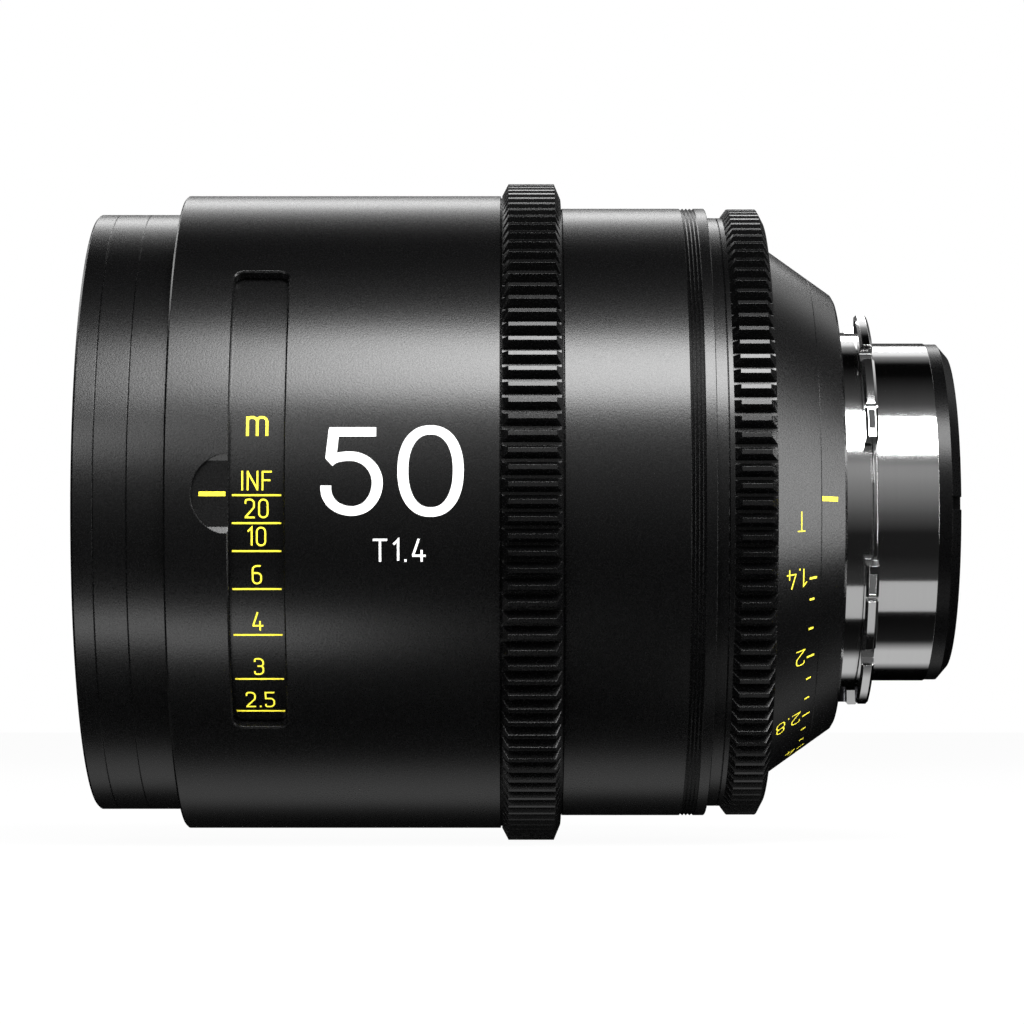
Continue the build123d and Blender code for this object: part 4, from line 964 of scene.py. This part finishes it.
class LENS_OT_sleeve_figures(Operator):
    """Paint the focal length, the full aperture and the focus index on the sleeve"""

    bl_idname = "lens.sleeve_figures"
    bl_label = "Sleeve figures"

    def execute(self, context):
        marks = context.scene.lens_marks
        height, stroke = marks.focal_height, marks.focal_stroke
        paint = MarkMesh(marks.depth)
        foot = Surface(FOCAL_X, FOCAL_FOOT_ANGLE, SLEEVE_RADIUS)

        def placed(shares):
            """Centre line of a large figure in metres."""
            return [
                Vector(((x - FOCAL_WIDTH_SHARE / 2) * height, y * height)) for x, y in shares
            ]

        bowl = spline(placed(FIVE_BOWL_SHARES))
        paint.stroke(foot, bowl, stroke, thin=FOCAL_THIN_SHARE)
        paint.stroke(foot, placed(FIVE_STEM_SHARES), stroke)
        paint.stroke(foot, placed(FIVE_BAR_SHARES), stroke, thin=FOCAL_THIN_SHARE)
        oval = []
        for step in range(ZERO_STEPS):
            turn = 2 * pi * step / ZERO_STEPS
            x, y = (
                copysign(abs(side) ** (2 / ZERO_POWER), side) for side in (cos(turn), sin(turn))
            )
            oval.append((
                ZERO_CENTRE_SHARES[0] + x * ZERO_REACH_SHARES[0],
                ZERO_CENTRE_SHARES[1] + y * ZERO_REACH_SHARES[1],
            ))
        paint.stroke(foot, placed(oval), stroke, closed=True, thin=FOCAL_THIN_SHARE)
        small = Surface(APERTURE_X, degrees(-APERTURE_DROP / SLEEVE_RADIUS), SLEEVE_RADIUS)
        paint.text(
            small, "T1.4", APERTURE_HEIGHT, APERTURE_STROKE, gap_share=0.30, width_share=0.94
        )
        paint.finish("sleeve_figures", FINISHES["white"], "housing", "black_anodised")
        index = MarkMesh(marks.depth)
        middle = (INDEX_FRONT_X + INDEX_REAR_X) / 2
        floor = Surface(middle, 0, RECESS_FLOOR, flat=True)
        index.bar(floor, INDEX_WIDTH, INDEX_REAR_X - INDEX_FRONT_X)
        cover = Surface(STOP_INDEX_X, 0, cone_radius(STOP_INDEX_X), CONE_SLOPE)
        index.bar(cover, STOP_INDEX_WIDTH, STOP_INDEX_LENGTH)
        index.finish("index_marks", FINISHES["yellow"], "housing", "black_anodised")
        return {"FINISHED"}


# Aperture scale: angles in degrees, places along the axis
FULL_STOP_ANGLE = -18.1
FIRST_THIRD_ANGLES = (-23.1, -30.4)
STOP_PITCH = 19.8
STOPS = ("1.4", "2", "2.8", "4", "5.6", "8", "11", "16", "22")
STOP_TICK_X = -10.65 * MM
STOP_TICK_WIDTH = 0.36 * MM
STOP_TICK_LENGTH = 1.15 * MM
THIRD_TICK_X = STOP_TICK_X - 0.12 * MM
THIRD_TICK_WIDTH = 0.34 * MM
THIRD_TICK_LENGTH = 0.75 * MM
STOP_FIGURE_X = -11.65 * MM
STOP_FIGURE_LIFT = 1.95 * MM
LETTER_X = -12.6 * MM
LETTER_ANGLE = -5.3
LETTER_LIFT = 1.65 * MM
LETTER_HEIGHT = 3.0 * MM
LETTER_STROKE = 0.18 * MM


class LENS_OT_iris_scale(Operator):
    """Paint the aperture scale round the iris ring's cone"""

    bl_idname = "lens.iris_scale"
    bl_label = "Iris scale"

    def execute(self, context):
        marks = context.scene.lens_marks
        paint = MarkMesh(marks.depth)

        def on_cone(x, angle):
            """Place on the cone where figures read towards the front."""
            return Surface(x, angle, cone_radius(x), CONE_SLOPE, -1)

        for number, words in enumerate(STOPS):
            angle = FULL_STOP_ANGLE - STOP_PITCH * number
            paint.bar(on_cone(STOP_TICK_X, angle), STOP_TICK_WIDTH, STOP_TICK_LENGTH)
            foot = on_cone(STOP_FIGURE_X, angle + degrees(STOP_FIGURE_LIFT / CONE_FRONT_RADIUS))
            paint.text(
                foot, words, marks.stop_height, marks.stop_stroke, gap_share=0.2,
                width_share=0.84, centred=False,
            )
        letter = on_cone(LETTER_X, LETTER_ANGLE + degrees(LETTER_LIFT / CONE_FRONT_RADIUS))
        paint.text(letter, "T", LETTER_HEIGHT, LETTER_STROKE, width_share=0.58)
        for angle in FIRST_THIRD_ANGLES:
            paint.bar(on_cone(THIRD_TICK_X, angle), THIRD_TICK_WIDTH, THIRD_TICK_LENGTH)
        paint.finish("iris_scale_marks", FINISHES["yellow"], "iris_ring", "black_anodised")
        short = MarkMesh(marks.depth)
        short.bar(on_cone(THIRD_TICK_X, 0), THIRD_TICK_WIDTH, THIRD_TICK_LENGTH)
        base = bpy.data.meshes.new("short_stop_mark")
        base.from_pydata([tuple(point) for point in short.points], [], short.faces)
        applied(
            "iris_third_marks", base, round_tree(),
            {
                "Count": 3 * (len(STOPS) - 2) + 1,
                "First angle": radians(STOP_PITCH - FULL_STOP_ANGLE),
                "Pitch angle": radians(STOP_PITCH / 3),
                "Left out every": 3,
                "Material": FINISHES["yellow"],
            },
            "iris_ring",
        )
        return {"FINISHED"}


# Settings of the thread and of the ridges round the front glass
FILTER_THREAD = {
    "Turns": 3.0, "Length": 2.5 * MM, "Radius": 42.5 * MM, "First X": -120.85 * MM,
    "Ridge": 0.24 * MM,
}
RETAINER_RIDGES = {
    "Count": 9, "First X": RETAINER_FRONT_X + 0.06 * MM, "First radius": 40.6 * MM,
    "Step X": 0.13 * MM, "Step radius": -0.7 * MM, "Ridge": 0.16 * MM,
}


class LENS_OT_front_details(Operator):
    """Wind the filter thread and lay the dulling ridges round the front glass"""

    bl_idname = "lens.front_details"
    bl_label = "Front details"

    def execute(self, context):
        applied(
            "filter_thread_ridge", bpy.data.meshes.new("thread_base"), thread_tree(),
            {**FILTER_THREAD, "Material": FINISHES["black_anodised"]},
            "housing",
        )
        applied(
            "front_retainer_ridges", bpy.data.meshes.new("ridge_base"), rings_tree(),
            {**RETAINER_RIDGES, "Material": FINISHES["inner_black"]},
            "housing",
        )
        return {"FINISHED"}


# Narrow joints: place along the axis, radius of the ring that fills it, and half its width
JOINTS = (
    (-57.75 * MM, 50.1 * MM, 0.09 * MM), (-48.35 * MM, 48.2 * MM, 0.09 * MM),
    (-23.75 * MM, 46.7 * MM, 0.09 * MM),
)
COVER_JOINT_X = -9.4 * MM
COVER_JOINT_HALF_WIDTH = 0.048 * MM


class LENS_OT_joint_rings(Operator):
    """Close the narrow joints between the rings with thin black rings"""

    bl_idname = "lens.joint_rings"
    bl_label = "Joint rings"

    def execute(self, context):
        sunk = cone_radius(COVER_JOINT_X) - COVER_JOINT_HALF_WIDTH
        cover = (COVER_JOINT_X, sunk, COVER_JOINT_HALF_WIDTH)
        tree = rings_tree()
        for number, (x, radius, reach) in enumerate(JOINTS + (cover,), 1):
            applied(
                f"joint_ring_{number}", bpy.data.meshes.new("joint_base"), tree,
                {
                    "Count": 1, "First X": x, "First radius": radius, "Ridge": reach,
                    "Material": FINISHES["black_anodised"],
                },
                "housing",
            )
        return {"FINISHED"}


# Studio as the polished parts see it: degrees round the axis from the camera's side upwards,
# and how much of the white studio shows there
STUDIO_BANDS = (
    (-180, 0.0), (-162, 0.0), (-150, 0.0), (-138, 0.0), (-128, 0.50), (-112, 0.50),
    (-102, 0.01), (-77, 0.0), (-71, 0.02), (-60, 0.03), (-43, 0.025), (-33, 0.010),
    (-17, 0.010), (-5, 0.07), (8, 0.17), (22, 0.26), (27, 0.25), (31, 0.14), (38, 0.14),
    (66, 0.10), (74, 0.045), (95, 0.01), (103, 0.0), (118, 0.0), (128, 0.25), (133, 0.95),
    (144, 1.0), (150, 0.10), (180, 0.0),
)

# How the studio fades towards the two ends of the lens
STUDIO_ENDS = {"From Min": 0.55, "From Max": 0.90, "To Min": 1.0, "To Max": 0.04}

# Floor of pale paper
FLOOR_REACH = 6.0
PAPER_TONE = 0.87
PAPER_SPREAD = 0.02
PAPER_FIBRE_SCALE = 400.0

# Softboxes and small panels: name, place, what each aims at, and size
SOFTBOXES = (
    ("key", (0.145, -0.63, 0.7376), (0.145, 0, 0), (0.61, 0.44)),
    ("side", (0.88, -0.33, 0.29), (-0.02, 0, 0), (0.28, 1.2)),
    ("low", (-0.45, -0.75, 0.35), (-0.11, 0, 0), (0.50, 0.22)),
    ("fill", (-0.2085, -0.184, -0.169), (-0.2085, 0, 0), (0.233, 0.053)),
    ("mount", (0.02, -0.0671, -0.0995), (0.02, 0, 0), (0.08, 0.045)),
    ("rim", (-0.15, 0.785, 0.57), (-0.15, 0, 0), (1.0, 0.20)),
    ("left", (-0.75, 0.48, 0.42), (-0.09, 0, 0), (0.25, 0.45)),
)


class LENS_OT_stage(Operator):
    """Set up the floor, the studio, the softboxes and the camera"""

    bl_idname = "lens.stage"
    bl_label = "Stage"

    def execute(self, context):
        stage = context.scene.lens_stage
        self.world(context, stage)
        self.floor(stage)
        self.softboxes(stage)
        camera_data = bpy.data.cameras.new("camera")
        camera_data.lens = stage.focal_length
        camera_data.sensor_width = 36.0
        camera_data.clip_start, camera_data.clip_end = 0.01, 50.0
        camera = bpy.data.objects.new("camera", camera_data)
        bpy.context.collection.objects.link(camera)
        camera.location = (
            stage.aim_x, -stage.distance * cos(stage.elevation),
            stage.distance * sin(stage.elevation),
        )
        camera.rotation_euler = (pi / 2 - stage.elevation, 0, 0)
        context.scene.camera = camera
        context.scene.view_settings.view_transform = "Standard"
        return {"FINISHED"}

    def world(self, context, stage):
        """White to the camera and through glass, bands in gloss, even light elsewhere."""
        world = bpy.data.worlds.new("studio")
        context.scene.world = world
        world.use_nodes = True
        tree = world.node_tree
        link = tree.links.new
        light = tree.nodes.new("ShaderNodeLightPath")
        direction = tree.nodes.new("ShaderNodeTexCoord").outputs["Generated"]
        parts = tree.nodes.new("ShaderNodeSeparateXYZ")
        link(direction, parts.inputs[0])
        front = maths(tree, "MULTIPLY", parts.outputs[1], -1.0)
        angle = maths(tree, "ARCTAN2", parts.outputs[2], front)
        place = maths(tree, "MULTIPLY_ADD", angle, 1 / (2 * pi), 0.5)
        ramp = tree.nodes.new("ShaderNodeValToRGB")
        link(place, ramp.inputs[0])
        stops = ramp.color_ramp.elements
        stops[0].position, stops[1].position = 0.0, 1.0
        for degrees_round, _ in STUDIO_BANDS[1:-1]:
            stops.new(degrees_round / 360 + 0.5)
        for stop, (_, level) in zip(stops, STUDIO_BANDS):
            stop.color = (level, level, level, 1)
        ends = tree.nodes.new("ShaderNodeMapRange")
        ends.interpolation_type = "SMOOTHSTEP"
        link(maths(tree, "ABSOLUTE", parts.outputs[0]), ends.inputs["Value"])
        for title, value in STUDIO_ENDS.items():
            ends.inputs[title].default_value = value
        banded = scaled(tree, ramp.outputs[0], ends.outputs[0])
        shown = maths(
            tree, "MAXIMUM", light.outputs["Is Camera Ray"], light.outputs["Is Transmission Ray"]
        )
        even = (stage.ambient,) * 3 + (1,)
        gloss = self.mixed(tree, light.outputs["Is Glossy Ray"], even, banded)
        back = tree.nodes["Background"]
        link(self.mixed(tree, shown, gloss, (1, 1, 1, 1)), back.inputs["Color"])
        back.inputs["Strength"].default_value = 1.0

    def mixed(self, tree, factor, first, second):
        """Colour mixed from two sockets or colours."""
        node = tree.nodes.new("ShaderNodeMix")
        node.data_type = "RGBA"
        tree.links.new(factor, node.inputs["Factor"])
        places = [socket for socket in node.inputs if socket.type == "RGBA"]
        for place, value in zip(places, (first, second)):
            if isinstance(value, tuple):
                place.default_value = value
            else:
                tree.links.new(value, place)
        return next(socket for socket in node.outputs if socket.type == "RGBA")

    def floor(self, stage):
        """Pale floor that keeps the shadow."""
        material = bpy.data.materials.new("pale floor")
        material.use_nodes = True
        tree = material.node_tree
        tree.nodes.clear()
        link = tree.links.new
        paper = tree.nodes.new("ShaderNodeBsdfDiffuse")
        position = tree.nodes.new("ShaderNodeTexCoord").outputs["Object"]
        fibre = noise(tree, position, PAPER_FIBRE_SCALE, detail=3.0)
        tone = maths(tree, "MULTIPLY_ADD", fibre, PAPER_SPREAD, PAPER_TONE)
        link(tone, paper.inputs["Color"])
        glow = tree.nodes.new("ShaderNodeEmission")
        light = tree.nodes.new("ShaderNodeLightPath")
        shown = maths(
            tree, "MAXIMUM", light.outputs["Is Camera Ray"], light.outputs["Is Transmission Ray"]
        )
        shown = maths(tree, "MAXIMUM", shown, light.outputs["Is Glossy Ray"])
        mix = tree.nodes.new("ShaderNodeMixShader")
        link(maths(tree, "MULTIPLY", shown, stage.floor_white), mix.inputs[0])
        link(paper.outputs[0], mix.inputs[1])
        link(glow.outputs[0], mix.inputs[2])
        out = tree.nodes.new("ShaderNodeOutputMaterial")
        link(mix.outputs[0], out.inputs["Surface"])
        corners = [(-1, -1), (1, -1), (1, 1), (-1, 1)]
        mesh = bpy.data.meshes.new("floor")
        mesh.from_pydata(
            [(x * FLOOR_REACH, y * FLOOR_REACH, stage.floor_height) for x, y in corners],
            [], [(0, 1, 2, 3)],
        )
        mesh.materials.append(material)
        floor = bpy.data.objects.new("floor", mesh)
        bpy.context.collection.objects.link(floor)
        floor.visible_glossy = False
        floor.visible_shadow = False

    def softboxes(self, stage):
        """Softboxes and small panels, each with its own power."""
        for name, place, aim, size in SOFTBOXES:
            lamp = bpy.data.lights.new(name, "AREA")
            lamp.shape = "RECTANGLE"
            lamp.size, lamp.size_y = size
            lamp.energy = getattr(stage, f"{name}_power")
            box = bpy.data.objects.new(name, lamp)
            bpy.context.collection.objects.link(box)
            box.location = place
            ahead = Vector(aim) - Vector(place)
            box.rotation_euler = ahead.to_track_quat("-Z", "Y").to_euler()
            box.visible_camera = False


class LENS_PT_panel(Panel):
    """Lists the lens's steps"""

    bl_idname = "LENS_PT_panel"
    bl_label = "Lens"
    bl_space_type = "VIEW_3D"
    bl_region_type = "UI"
    bl_category = "Lens"

    def draw(self, context):
        scene = context.scene
        for group in (scene.lens_finish, scene.lens_marks, scene.lens_stage):
            for title in group.bl_rna.properties.keys():
                if title not in ("rna_type", "name"):
                    self.layout.prop(group, title)
        for step in STEPS:
            self.layout.operator(step)


STEPS = (
    "lens.finishes", "lens.focus_scale", "lens.sleeve_figures", "lens.iris_scale",
    "lens.front_details", "lens.joint_rings", "lens.stage",
)
CLASSES = (
    LensFinish, LensMarks, LensStage, LENS_OT_finishes, LENS_OT_focus_scale,
    LENS_OT_sleeve_figures, LENS_OT_iris_scale, LENS_OT_front_details, LENS_OT_joint_rings,
    LENS_OT_stage, LENS_PT_panel,
)


def register():
    """Register the classes and their settings."""
    for item in CLASSES:
        bpy.utils.register_class(item)
    bpy.types.Scene.lens_finish = PointerProperty(type=LensFinish)
    bpy.types.Scene.lens_marks = PointerProperty(type=LensMarks)
    bpy.types.Scene.lens_stage = PointerProperty(type=LensStage)


def unregister():
    """Take the classes and their settings away again."""
    del bpy.types.Scene.lens_stage
    del bpy.types.Scene.lens_marks
    del bpy.types.Scene.lens_finish
    for item in reversed(CLASSES):
        bpy.utils.unregister_class(item)


def main():
    """Run every step in order."""
    register()
    for step in STEPS:
        area, name = step.split(".")
        getattr(getattr(bpy.ops, area), name)()


if __name__ == "__main__":
    main()
